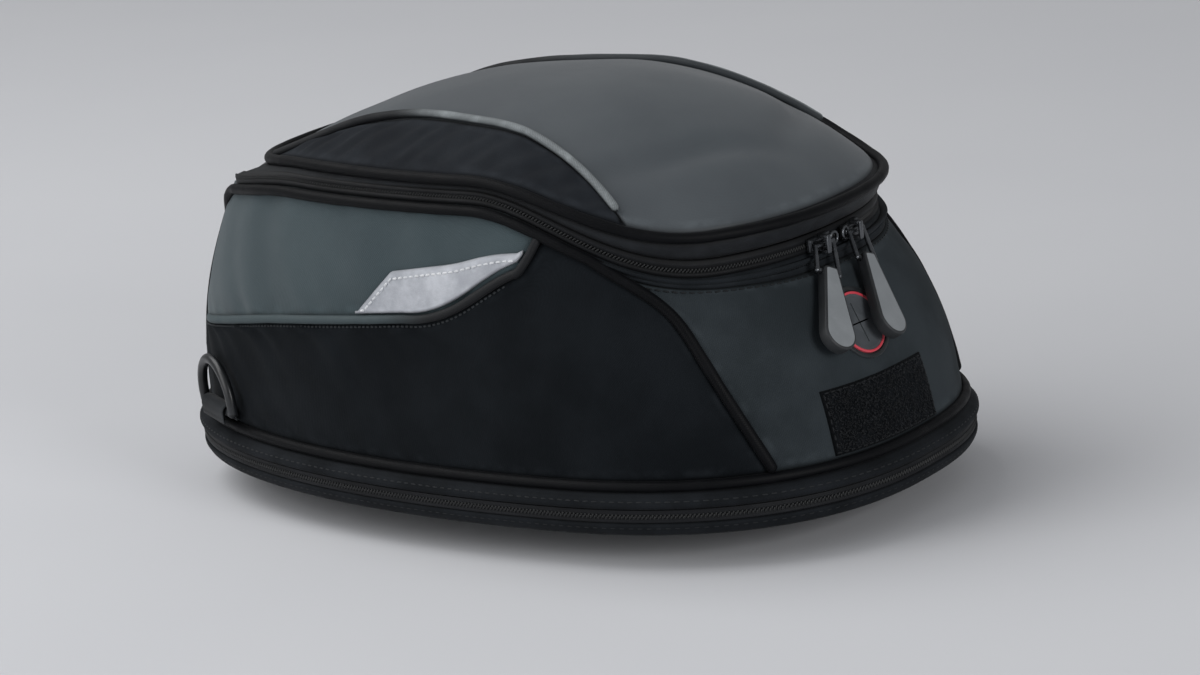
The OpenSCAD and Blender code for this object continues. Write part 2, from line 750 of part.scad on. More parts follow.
module inset_piping_right() {
    r = thin_pipe_r;
    first = inset_rear + 1.5;
    last = inset_front - 3;
    line = [for (i = [0:20]) first + (last - first) * i / 20];
    color("#7d8284") sleeve(tube_rings([for (t = line) dome(t, inset_edge(t), -r - clear)],
        [for (t = line) unit([cos(t), sin(t), 1.5])], r), false);
}

module inset_piping_left() {
    on_right() inset_piping_right();
}

module lid_edge_piping() {
    color("#141517") sleeve([for (i = [0:loop_steps - 1]) let (t = 360 * i / loop_steps)
        [for (k = [0:tube_sides - 1]) let (a = 360 * (k + 0.5) / tube_sides,
            q = edge(LID, t, pipe_r * cos(a)), e = egg(LID, t))
            [q.x, q.y, lid_z(e.x) + pipe_r * sin(a)]]], true);
}

tape_rise = 0.4;
tape_share = 0.22;

module lid_gusset() {
    color("#1d1e21") zip_strip(ZIP, LID, -tape_end, tape_end, [tape_rise + clear, tape_share],
        [-pipe_r - clear, 1], tape_t);
}

module zip_tape_upper() {
    color("#0e0f10") zip_strip(ZIP, ZIP, -tape_end, tape_end, [zip_slot, 0], [tape_rise, tape_share],
        tape_t);
}

module lid_hinge_strip() {
    first = tape_end + 1;
    color("#1a1b1d") zip_strip(ZIP, LID, first, 360 - first, [clear - tape_drop, 0],
        [-pipe_r - clear, 1], tape_t);
}

module lid_foam() {
    foam_t = 2.5;
    foam_gap = 1.5;
    reach = 0.9;
    color("#3a3d40") dome_shell(function (t) reach, 48, 4, dome_t + foam_gap, foam_t);
}

// Zip sliders and pulls at the rear
run_x = zip_back_x - run_r;
slider_gap = 0.8;
post = 1.4;
bridge_x = 5.2;
pin_x = 3.6;

module on_run(y) {
    translate([run_x, 0, zip_rear_z]) rotate([0, 0, asin(y / run_r)])
        translate([run_r + slider_gap, 0, 0]) children();
}

module zip_slider(y) {
    skin = 2;
    width = 2.4;
    color("#77797c") on_run(y) {
        translate([0, -slider_l / 2, -slider_h / 2]) cube([skin, slider_l, slider_h]);
        for (side = [-1, 1]) translate([skin, -width / 2, side * (slider_h - post) / 2 - post / 2])
            cube([bridge_x - skin, width, post]);
        translate([bridge_x, -width / 2, -slider_h / 2]) cube([bridge_t, width, slider_h]);
    }
}

module zip_slider_left() {
    zip_slider(slider_left_y);
}

module zip_slider_right() {
    zip_slider(slider_right_y);
}

// Frame of a leaning pull, with its pin along y
module on_pin(y) {
    on_run(y) translate([pin_x, 0, 0]) rotate([0, -pull_lean, 0]) children();
}

function pull_slant(y) = y < 0 ? slant_left : slant_right;

module rod(a, b, d) {
    v = b - a;
    translate(a) rotate([0, acos(v.z / norm(v)), atan2(v.y, v.x)]) cylinder(d = d, h = norm(v), $fn = 24);
}

// Wire loop with its upper bar on the pin axis and its lower bar across the slanted grip
module pull_bail(y) {
    slant = pull_slant(y);
    bar = bail_half * [0, cos(slant), -sin(slant)];
    foot = bail_l * [0, -sin(slant), -cos(slant)];
    corners = [[0, bail_half, 0], foot + bar, foot - bar, [0, -bail_half, 0]];
    bend_d = bail_d * 1.08;
    color("#86888b") on_pin(y) for (i = [0:3]) {
        translate(corners[i]) sphere(d = bend_d, $fn = 24);
        rod(corners[i], corners[(i + 1) % 4], bail_d);
    }
}

module pull_grip(y) {
    head_r = 3.2;
    foot_r = grip_w / 2;
    eye_d = bail_d + 2 * pin_clear;
    eye_top = 2.2;
    color("#4a4d50") on_pin(y) rotate([-pull_slant(y), 0, 0]) translate([0, 0, -bail_l]) difference() {
        rotate([90, 0, 90]) linear_extrude(grip_t, center = true) hull() {
            translate([0, eye_top - head_r]) circle(r = head_r, $fn = 32);
            translate([0, eye_top + foot_r - grip_l]) circle(r = foot_r, $fn = 48);
        }
        rotate([90, 0, 0]) cylinder(d = eye_d, h = 2 * grip_w, center = true, $fn = 24);
    }
}

module pull_bail_left() {
    pull_bail(slider_left_y);
}

module pull_bail_right() {
    pull_bail(slider_right_y);
}

module pull_grip_left() {
    pull_grip(slider_left_y);
}

module pull_grip_right() {
    pull_grip(slider_right_y);
}

base_board();
base_rim();
grow_zip_lower();
ring_adapter();
ring_screws();
backing_plate();
ring_nuts();
latch_slide();
latch_pull_tab();
grow_gusset();
grow_slider();
grow_pull();
grow_zip_upper();
upper_band();
band_piping();
front_panel();
side_panel_left();
side_panel_right();
side_yoke_left();
side_yoke_right();
pocket_piping_left();
pocket_piping_right();
reflective_patch_left();
reflective_patch_right();
seam_piping_left();
seam_piping_right();
rear_panel();
zip_facing();
zip_tape_lower();
port_flange();
port_ring();
port_membrane();
hook_patch();
ring_tab_left();
ring_tab_right();
d_ring_left();
d_ring_right();
lid_panel();
lid_inset_left();
lid_inset_right();
inset_piping_left();
inset_piping_right();
lid_edge_piping();
lid_gusset();
lid_foam();
lid_hinge_strip();
zip_tape_upper();
zip_slider_left();
zip_slider_right();
pull_bail_left();
pull_bail_right();
pull_grip_left();
pull_grip_right();
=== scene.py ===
"""Expanding motorcycle tank bag: cloth, cords, zips, pulls and fittings around the fixed frame.

Sizes are in millimetres until a mesh is made, and metres from then on.
"""
import logging
import math
from dataclasses import dataclass, field
from enum import Enum
from typing import Callable, Sequence

import bpy
import numpy as np
from mathutils import Matrix, Vector


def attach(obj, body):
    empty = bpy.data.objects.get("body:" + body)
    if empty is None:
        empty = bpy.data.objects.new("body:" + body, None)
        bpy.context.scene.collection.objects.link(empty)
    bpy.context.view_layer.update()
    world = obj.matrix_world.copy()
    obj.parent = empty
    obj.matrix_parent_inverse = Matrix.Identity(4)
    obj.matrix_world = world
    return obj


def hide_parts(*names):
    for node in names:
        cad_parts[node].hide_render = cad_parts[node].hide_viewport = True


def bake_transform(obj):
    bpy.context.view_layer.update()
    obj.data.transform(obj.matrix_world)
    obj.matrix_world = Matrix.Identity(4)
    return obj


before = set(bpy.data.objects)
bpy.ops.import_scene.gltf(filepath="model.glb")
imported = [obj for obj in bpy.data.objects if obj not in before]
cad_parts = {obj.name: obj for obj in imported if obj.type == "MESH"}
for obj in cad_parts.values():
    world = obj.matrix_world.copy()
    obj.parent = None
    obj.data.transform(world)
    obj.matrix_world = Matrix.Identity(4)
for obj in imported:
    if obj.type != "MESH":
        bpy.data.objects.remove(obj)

log = logging.getLogger("tank_bag")

MM = 0.001

# Lengths in mm; plan angles in degrees from the rear.
CLEAR = 0.4
EVEN_FROM = 4.2
FAR_RIM = 30.0
FRONT_SEAM = 160.0
TAPE_END = 152.0
TOOTH_R = 0.42
RIM_STEPS = 240
MIDDLE = np.array([15.0, 0.0, 70.0])
LID_MIDDLE = np.array([6.0, 0.0, 60.0])

# Shares of the pitch and heights of the waves that make up uneven gathers.
WAVES = ((0.71, 0.5), (1.0, 0.9), (1.43, 0.55), (2.6, 0.5))
WAVE_PEAK = 1.9

Array = np.ndarray
Piece = bpy.types.Object
FaceTest = Callable[[bpy.types.MeshPolygon], bool]
Faces = list[tuple[int, ...]]
Shape = tuple[Array, Faces]
Section = Sequence[tuple[float, float]]
Place = tuple[float, float, float]
Colour = tuple[float, float, float, float]


class Side(Enum):
    """Left or right half of the bag, as the sign of Y."""

    LEFT = -1
    RIGHT = 1

    @property
    def word(self) -> str:
        """Name of the side in a piece's name."""
        return self.name.lower()


def smooth(a: float, b: float, x: Array) -> Array:
    """Smooth step from 0 at a to 1 at b."""
    u = np.clip((np.asarray(x, float) - a) / (b - a), 0.0, 1.0)
    return u * u * (3 - 2 * u)


def curve(v: Array, p: float) -> Array:
    """Power of a value that keeps its sign."""
    return np.sign(v) * np.abs(v) ** p


def unit(v: Array) -> Array:
    """Vectors of length one along the last axis."""
    return v / np.maximum(np.linalg.norm(v, axis=-1, keepdims=True), 1e-9)


def travel(path: Array) -> Array:
    """Lengths along a path from its start."""
    return np.concatenate([[0], np.cumsum(np.linalg.norm(np.diff(path, axis=0), axis=-1))])


def raised(plan: Array, z: Array | float) -> Array:
    """Points in space from points in plan and their heights."""
    return np.concatenate([plan, np.broadcast_to(z, plan.shape[:-1])[..., None]], -1)


def mirrored(points: Array, side: Side) -> Array:
    """Points of the right half, or their mirror image for the left half."""
    return points * np.array([1.0, side.value, 1.0])


def turns(count: int, start: float = 0.0) -> Array:
    """Even plan angles once round, from a start angle."""
    return np.linspace(start, start + 360, count, endpoint=False)


def spread(count: int, length: float, close: Sequence[float] = (0.0, 0.35, 0.9, 1.7, 2.8)) -> Array:
    """Shares from 0 to 1 that lie closer together at both ends.

    Args:
        count: Number of even steps between the two ends.
        length: Length that the shares run over, in mm.
        close: Distances of the first shares from each end, in mm.

    Returns:
        Sorted shares.
    """
    ends = np.array(close) / length
    inner = np.linspace(EVEN_FROM / length, 1 - EVEN_FROM / length, count)
    return np.concatenate([ends, inner, 1 - ends[::-1]])


def gathers(u: Array, pitch: float, seed: int) -> Array:
    """Uneven soft waves along a length, between about -1 and 1.

    Args:
        u: Lengths in mm.
        pitch: Usual distance between two waves in mm.
        seed: Start of the random draws.

    Returns:
        Height of the waves.
    """
    rng = np.random.default_rng(seed)
    total = np.zeros_like(u, dtype=float)
    for share, size in WAVES:
        total += size * np.sin(2 * np.pi * u / (pitch * share) + rng.uniform(0, 6.28))
    return total / WAVE_PEAK


@dataclass(frozen=True)
class Outline:
    """Egg-shaped outline in plan: reaches from its widest line, half width and roundness."""

    front: float
    rear: float
    half: float
    mid: float
    front_round: float
    rear_round: float

    def at(self, t: Array, off: float | Array = 0.0) -> Array:
        """Points in plan.

        Args:
            t: Plan angles in degrees from the rear.
            off: Distance outwards in mm.

        Returns:
            Points in mm.
        """
        t = np.radians(np.asarray(t, float))
        c, s = np.cos(t), np.sin(t)
        n = np.where(c > 0, self.rear_round, self.front_round)
        reach = np.where(c > 0, self.rear, self.front)
        point = np.stack([self.mid + reach * curve(c, 2 / n), self.half * curve(s, 2 / n)], -1)
        way = np.stack([curve(c, 2 - 2 / n) / reach, curve(s, 2 - 2 / n) / self.half], -1)
        return point + np.asarray(off, float)[..., None] * unit(way)

    def out(self, t: Array) -> Array:
        """Outward directions at plan angles."""
        return self.at(t, 1.0) - self.at(t, 0.0)

    def line(self, t: Array, off: float, z: Array | float, lean: float = 0.0) -> tuple[Array, Array]:
        """Path at plan angles and heights, and its outward directions with an upward lean."""
        return raised(self.at(t, off), z), raised(self.out(t), lean)


@dataclass(frozen=True)
class BagForm:
    """The sewn shape of the bag: outlines, levels, walls, lid dome and seam lines."""

    rim: Outline = Outline(207, 107, 96, 50, 2.0, 2.4)
    foot: Outline = Outline(202.5, 102.5, 91.5, 50, 2.0, 2.4)
    zip_line: Outline = Outline(170, 80, 82, 45, 2.3, 2.3)
    lid: Outline = Outline(151, 84.5, 82, 45, 2.3, 2.3)
    foot_z: float = 32.6
    zip_rear_z: float = 101.0
    zip_rise: float = 28.5
    zip_fall: float = 9.0
    gap_rear: float = 12.5
    gap_side_loss: float = 6.5
    gap_front_loss: float = 2.0
    swell: float = 5.5
    tape_drop: float = 3.0
    tape_lap: float = 0.6
    crest: tuple[float, float] = (6.0, 157.0)
    hem: float = 2.4
    hem_rise: float = 1.0
    corner: float = 42.0
    pocket_kink: float = 104.0
    pocket_share: float = 0.569
    inset_mid: float = 113.0

    @property
    def rear_h(self) -> float:
        """Height of the wall at the rear."""
        return self.zip_rear_z - self.tape_drop - self.foot_z

    def rise(self, x: Array) -> Array:
        """Share of the zip's rise from the rear to the sides."""
        return smooth(110, 25, x)

    def zip_z(self, x: Array) -> Array:
        """Height of the zip."""
        return self.zip_rear_z + self.zip_rise * self.rise(x) - self.zip_fall * smooth(-60, -133, x)

    def lid_gap(self, x: Array) -> Array:
        """Height of the lid edge over the zip."""
        return (self.gap_rear - self.gap_side_loss * self.rise(x)
                - self.gap_front_loss * smooth(-30, -100, x))

    def knee(self, x: Array) -> Array:
        """How far the upper zip tape reaches over the zip, lower towards the front."""
        return 0.22 * self.lid_gap(x) * (1 - 0.6 * smooth(-70, -112, x))

    def lean(self, x: Array) -> Array:
        """How far in the upper zip tape leans at its top, more towards the front."""
        return 3.4 * smooth(-40, -105, x)

    def tape_seam(self, x: Array) -> Array:
        """Height of the seam at the top of the upper zip tape."""
        return self.zip_z(x) + self.tape_lap + self.knee(x)

    def lid_z(self, x: Array) -> Array:
        """Height of the lid edge."""
        return self.zip_z(x) + self.lid_gap(x)

    def wall(self, t: Array, s: Array, off: float | Array = 0.0) -> Array:
        """Points of the sewn wall.

        Args:
            t: Plan angles in degrees from the rear.
            s: Shares of the wall height.
            off: Distance outwards in mm.

        Returns:
            Points in mm.
        """
        t, s = np.broadcast_arrays(np.asarray(t, float), np.asarray(s, float))
        low, high = self.foot.at(t), self.zip_line.at(t)
        push = self.swell * np.sin(np.pi * np.clip(s, 0, 1)) + off
        plan = low + (high - low) * s[..., None] + push[..., None] * self.foot.out(t)
        return raised(plan, self.foot_z + (self.zip_z(high[..., 0]) - self.tape_drop - self.foot_z) * s)

    def wall_out(self, t: Array, s: Array) -> Array:
        """Outward directions of the sewn wall.

        Args:
            t: Plan angles in degrees from the rear.
            s: Shares of the wall height.

        Returns:
            Directions of length one.
        """
        t, s = np.broadcast_arrays(np.asarray(t, float), np.asarray(s, float))
        level = self.wall(t + 0.5, s) - self.wall(t - 0.5, s)
        up = self.wall(t, s + 0.02) - self.wall(t, s - 0.02)
        return unit(np.cross(level, up))

    def wall_line(self, t: Array, s: Array, off: float | Array,
                  side: Side = Side.RIGHT) -> tuple[Array, Array]:
        """Path on the wall, on either half, and its outward directions."""
        return mirrored(self.wall(t, s, off), side), mirrored(self.wall_out(t, s), side)

    def dome(self, t: Array, r: Array, deep: float | Array = 0.0) -> Array:
        """Points of the lid dome.

        Args:
            t: Plan angles in degrees from the rear.
            r: Shares of the way from the crest to the edge.
            deep: Distance under the dome in mm.

        Returns:
            Points in mm.
        """
        t, r = np.broadcast_arrays(np.asarray(t, float), np.asarray(r, float))
        edge = self.lid.at(t, -self.hem)
        top = self.lid_z(edge[..., 0]) + self.hem_rise
        power = 2.25 + 0.45 * np.cos(np.radians(t))
        x0, z0 = self.crest
        z = z0 - (z0 - top) * r ** power - deep
        return np.stack([x0 + (edge[..., 0] - x0) * r, edge[..., 1] * r, z], -1)

    def rear_seam(self, s: Array) -> Array:
        """Plan angle of the rear corner seam."""
        return self.corner + 14 * s + 22 * np.asarray(s, float) ** 14

    def yoke_edge(self, t: Array) -> Array:
        """Height share of the pocket edge under the side yoke.

        Args:
            t: Plan angles in degrees from the rear.

        Returns:
            Shares of the wall height: a gentle fall to the front, and a curl up to the rear.
        """
        past = np.asarray(t, float) - self.pocket_kink
        curl = np.clip(-past / 18, 0, None) ** 2.1
        return self.pocket_share + np.where(past > 0, -0.0033 * past, 0.39 * curl)

    def inset_edge(self, t: Array) -> Array:
        """Share of the way to the lid edge at which a side inset starts.

        Args:
            t: Plan angles in degrees from the rear.

        Returns:
            Shares of the way from the crest to the lid edge.
        """
        past = np.abs(np.asarray(t, float)) - self.inset_mid
        rear, front = np.clip(-past / 47, 0, 1.3), np.clip(past / 39, 0, 1.3)
        return 0.63 + 0.24 * rear ** 1.8 + 0.1 * rear ** 8 + 0.37 * front ** 2.1

    def facing_low(self, u: Array) -> Array:
        """Height share of the seam under the zip, across the rear."""
        return 0.925 + 0.03 * smooth(0.25, 0.75, np.abs(u))

    def wall_frame(self, t: float, s: float, off: float) -> Matrix:
        """Frame on the wall.

        Args:
            t: Plan angle in degrees from the rear.
            s: Share of the wall height.
            off: Distance outwards in mm.

        Returns:
            Frame in mm: x outwards, y along the wall and z up along it.
        """
        spot, way = self.wall(t, s, off), self.wall_out(t, s)
        turn = math.atan2(way[1], way[0])
        return (Matrix.Translation(spot) @ Matrix.Rotation(turn, 4, "Z")
                @ Matrix.Rotation(-math.asin(way[2]), 4, "Y"))


FORM = BagForm()


class Value:
    """A shader socket that takes part in Python arithmetic."""

    def __init__(self, shader: "Shader", socket: bpy.types.NodeSocket) -> None:
        """Keeps the shader and its socket."""
        self.shader, self.socket = shader, socket

    def _math(self, operation: str, *terms: "Value | float") -> "Value":
        """One Math node over the terms."""
        return self.shader.node("ShaderNodeMath", {"operation": operation}, dict(enumerate(terms)))

    def __add__(self, other: "Value | float") -> "Value":
        """Sum, in either order."""
        return self._math("ADD", self, other)

    __radd__ = __add__

    def __sub__(self, other: "Value | float") -> "Value":
        """Difference."""
        return self._math("SUBTRACT", self, other)

    def __rsub__(self, other: float) -> "Value":
        """Difference with the number first."""
        return self._math("SUBTRACT", other, self)

    def __mul__(self, other: "Value | float") -> "Value":
        """Product, in either order."""
        return self._math("MULTIPLY", self, other)

    __rmul__ = __mul__

    def sine(self) -> "Value":
        """Sine."""
        return self._math("SINE", self)

    def wave(self, step: float) -> "Value":
        """Sine wave between 0 and 1, with a step of angle per unit."""
        return (self * step).sine() * 0.5 + 0.5

    def ramp(self, low: float, high: float) -> "Value":
        """Smooth step between two values."""
        return self.shader.node("ShaderNodeMapRange", {"interpolation_type": "SMOOTHSTEP"},
                                {0: self, 1: low, 2: high, 3: 0.0, 4: 1.0})


def shade(code: str) -> Colour:
    """Linear colour of a hexadecimal screen colour."""
    parts = [int(code[i:i + 2], 16) / 255 for i in (1, 3, 5)]
    return tuple(c / 12.92 if c < 0.04045 else ((c + 0.055) / 1.055) ** 2.4 for c in parts) + (1.0,)


def tint(code: str, gain: float, more: float = 0.0) -> Colour:
    """Linear colour of a screen colour, made lighter or darker."""
    return tuple(min(1.0, c * gain + more) for c in shade(code)[:3]) + (1.0,)


class Shader:
    """A material under construction around one Principled shader."""

    def __init__(self, name: str) -> None:
        """Starts a material with its shader and output.

        Args:
            name: Name of the finish.
        """
        self.material = bpy.data.materials.new(f"finish_{name}")
        self.material.use_nodes = True
        self.tree = self.material.node_tree
        self.surface = next(n for n in self.tree.nodes if n.type == "BSDF_PRINCIPLED")

    def node(self, kind: str, settings: dict | None = None, inputs: dict | None = None,
             out: int | str = 0) -> Value:
        """Adds a node.

        Args:
            kind: Type of the node.
            settings: Properties, set before the sockets.
            inputs: Values or links by socket number or name.
            out: Output socket to hand back.

        Returns:
            The output as a value.
        """
        made = self.tree.nodes.new(kind)
        for key, setting in (settings or {}).items():
            setattr(made, key, setting)
        for key, given in (inputs or {}).items():
            if isinstance(given, Value):
                self.tree.links.new(given.socket, made.inputs[key])
            else:
                made.inputs[key].default_value = given
        return Value(self, made.outputs[out])

    def place(self, scale: float = 1.0) -> Value:
        """Object coordinates, in units of 1/scale metres."""
        coords = self.node("ShaderNodeTexCoord", out="Object")
        return self.node("ShaderNodeMapping", inputs={0: coords, 3: (scale, scale, scale)})

    def threads(self) -> tuple[Value, Value]:
        """Lengths along and across the cloth from its own map, in mm."""
        coords = self.node("ShaderNodeUVMap", {"uv_map": "Weave"})
        split = self.node("ShaderNodeSeparateXYZ", inputs={0: coords})
        across = Value(self, split.socket.node.outputs[1])
        return split * 1000.0, across * 1000.0

    def rim(self) -> Value:
        """Distance to the edge of the panel in mm."""
        return self.node("ShaderNodeAttribute", {"attribute_name": "rim"}, out="Fac")

    def noise(self, size_mm: float, detail: float = 3.0, rough: float = 0.55) -> Value:
        """Soft noise of a given grain size in Object coordinates."""
        return self.node("ShaderNodeTexNoise", inputs={
            "Vector": self.place(1000.0 / size_mm), "Scale": 1.0, "Detail": detail, "Roughness": rough})

    def mix(self, share: Value | float, first: Value | Colour, second: Value | Colour) -> Value:
        """Blend of two colours."""
        return self.node("ShaderNodeMix", {"data_type": "RGBA"}, {0: share, 6: first, 7: second}, out=2)

    def relief(self, height: Value, depth_mm: float) -> Value:
        """Bump from a height between 0 and 1."""
        return self.node("ShaderNodeBump", inputs={"Strength": 1.0, "Distance": depth_mm * MM,
                                                   "Height": height})

    def finish(self, links: dict[str, Value], constants: dict[str, float | tuple]) -> bpy.types.Material:
        """Fills the shader's sockets.

        Args:
            links: Values that vary over the surface, by socket.
            constants: Numbers and colours that are the same all over, by socket.

        Returns:
            The material.
        """
        for key, number in constants.items():
            self.surface.inputs[key].default_value = number
        for key, value in links.items():
            self.tree.links.new(value.socket, self.surface.inputs[key])
        return self.material


@dataclass(frozen=True)
class Cloth:
    """Woven cloth with mottling, a fine weave, painted shade on its rolled edges and a paler band on their
    crest that is partly wear and partly painted highlight.
    """

    name: str
    colour: str
    dark: str
    pitch: float = 0.9
    depth: float = 0.10
    rough: float = 0.78
    sheen: float = 0.02
    gloss: float = 0.07
    mottle: float = 26.0
    blotch: float = 0.45
    coat: float = 0.0
    ribbed: float = 0.0
    # hem: strength of the painted shade on the rolled, seamed edges.
    hem: float = 0.75

    def make(self) -> bpy.types.Material:
        """Builds the material."""
        sh = Shader(self.name)
        along, across = sh.threads()
        step = 2 * math.pi / self.pitch
        warp, weft = (along * step).sine(), (across * step).sine()
        weave = warp * weft * 0.5 + 0.5
        if self.ribbed:
            weave = weave * (1 - self.ribbed) + across.wave(step / 2) * self.ribbed
        fibre = sh.noise(0.35, 2.0)
        cloud = sh.noise(self.mottle, 4.0).ramp(0.32, 0.68)
        thread = weave * 0.55 + fibre * 0.45
        tone = cloud * self.blotch + thread * (1 - self.blotch)
        # Painted shade: hem runs from 0 at the edge to 1 at 2.6 mm in, and the edge is darkened where it
        # rolls into the seam.
        hem = sh.rim().ramp(0.2, 2.6)
        colour = sh.mix(tone, shade(self.dark), shade(self.colour))
        # Paler band 3 to 6 mm from the edge, on the crest of the roll, broken by noise: partly wear, partly
        # painted highlight.
        crest_wear_and_highlight = sh.rim().ramp(6.0, 3.2) * hem * sh.noise(7.0).ramp(0.35, 0.75)
        colour = sh.mix(crest_wear_and_highlight * 0.4, colour, tint(self.colour, 1.5, 0.005))
        # Darkening of the rolled edge: painted shade.
        colour = sh.mix((1 - hem) * self.hem, colour, tint(self.dark, 0.3))
        rough = cloud * -0.1 + fibre * 0.1 + self.rough
        bump = sh.relief(thread + sh.noise(5.0) * 0.5, self.depth)
        return sh.finish({"Base Color": colour, "Roughness": rough, "Normal": bump},
                         {"Sheen Weight": self.sheen, "Sheen Roughness": 0.45, "Coat Weight": self.coat,
                          "Coat Roughness": 0.42, "Specular IOR Level": self.gloss})


@dataclass(frozen=True)
class CordCover:
    """Cloth-bound piping: a slanted fine twill with paler worn patches, which may turn to another colour and
    may have its underside darkened with painted shade.
    """

    name: str
    colour: str
    dark: str
    pitch: float = 0.8
    rough: float = 0.6
    gloss: float = 0.25
    other: str = ""
    turn: tuple[float, float] = (0.0, 1.0)
    # Radius of a cord whose underside is darkened with painted shade, as if lit from above; 0 for none.
    underside_shade_r: float = 0.0

    def make(self) -> bpy.types.Material:
        """Builds the material."""
        sh = Shader(self.name)
        along, across = sh.threads()
        step = 2 * math.pi / self.pitch
        twill = (along + across * 1.2).wave(step)
        cross = (along - across * 0.8).wave(step * 0.9)
        fibre = sh.noise(0.4, 2.0)
        wear = sh.noise(9.0, 4.0).ramp(0.45, 0.75)
        tone = twill * 0.35 + cross * 0.25 + fibre * 0.4
        colour = sh.mix(tone, shade(self.dark), shade(self.colour))
        colour = sh.mix(wear * 0.35, colour, tint(self.colour, 1.6, 0.001))
        # Painted light: the top keeps the cord's colour and the underside turns to the dark colour.
        if self.underside_shade_r:
            facing = (across * (1 / self.underside_shade_r) - math.pi / 2).sine().ramp(0.1, 0.8)
            colour = sh.mix(facing, shade(self.dark), colour)
        if self.other:
            colour = sh.mix(along.ramp(*self.turn), colour, shade(self.other))
        bump = sh.relief(tone + sh.noise(3.0) * 0.6, 0.09)
        return sh.finish({"Base Color": colour, "Roughness": wear * 0.12 + self.rough, "Normal": bump},
                         {"Sheen Weight": 0.015, "Sheen Roughness": 0.4, "Specular IOR Level": self.gloss})


@dataclass(frozen=True)
class Moulded:
    """Moulded plastic, rubber or enamel with a grain, marks and paler edges, partly wear and partly painted
    highlight.
    """

    name: str
    colour: str
    pale: str
    grain: float = 0.5
    depth: float = 0.03
    rough: float = 0.5
    coat: float = 0.0
    metal: float = 0.0
    # wear: how pale the convex edges turn, partly wear and partly painted highlight.
    wear: float = 0.35

    def make(self) -> bpy.types.Material:
        """Builds the material."""
        sh = Shader(self.name)
        grain = sh.noise(self.grain, 3.0)
        cloud = sh.noise(8.0, 4.0).ramp(0.3, 0.75)
        scuff = sh.noise(2.2, 5.0, 0.7).ramp(0.56, 0.72)
        # Convex edges turn pale: partly wear, partly a painted highlight along the edges.
        edge = sh.node("ShaderNodeNewGeometry", out="Pointiness").ramp(0.515, 0.58)
        colour = sh.mix(cloud * 0.3 + grain * 0.2 + scuff * 0.2, shade(self.colour), shade(self.pale))
        colour = sh.mix(edge * self.wear, colour, shade(self.pale))
        rough = cloud * 0.12 + scuff * 0.1 + (self.rough - 0.08)
        return sh.finish({"Base Color": colour, "Roughness": rough, "Normal": sh.relief(grain, self.depth)},
                         {"Metallic": self.metal, "Coat Weight": self.coat, "Coat Roughness": 0.3,
                          "Specular IOR Level": 0.45})


@dataclass(frozen=True)
class Reflective:
    """Retroreflective film on cloth: cloudy silver with fine beads, and painted shade on its rolled edge."""

    name: str
    colour: str
    dark: str
    # hem: grey of the painted shade on the film's rolled edge.
    hem: str = "#5a5c60"

    def make(self) -> bpy.types.Material:
        """Builds the material."""
        sh = Shader(self.name)
        cloud = sh.noise(11.0, 5.0, 0.62).ramp(0.3, 0.72)
        bead = sh.noise(0.3, 1.0)
        # Painted shade: the film turns grey within about a millimetre of its rolled edge.
        hem = sh.rim().ramp(0.1, 1.2)
        colour = sh.mix(cloud * 0.75 + bead * 0.25, shade(self.dark), shade(self.colour))
        colour = sh.mix((1 - hem) * 0.5, colour, shade(self.hem))
        return sh.finish({"Base Color": colour, "Roughness": cloud * -0.12 + bead * 0.15 + 0.46,
                          "Normal": sh.relief(bead + cloud * 1.5, 0.06)},
                         {"Metallic": 0.25, "Specular IOR Level": 0.5})


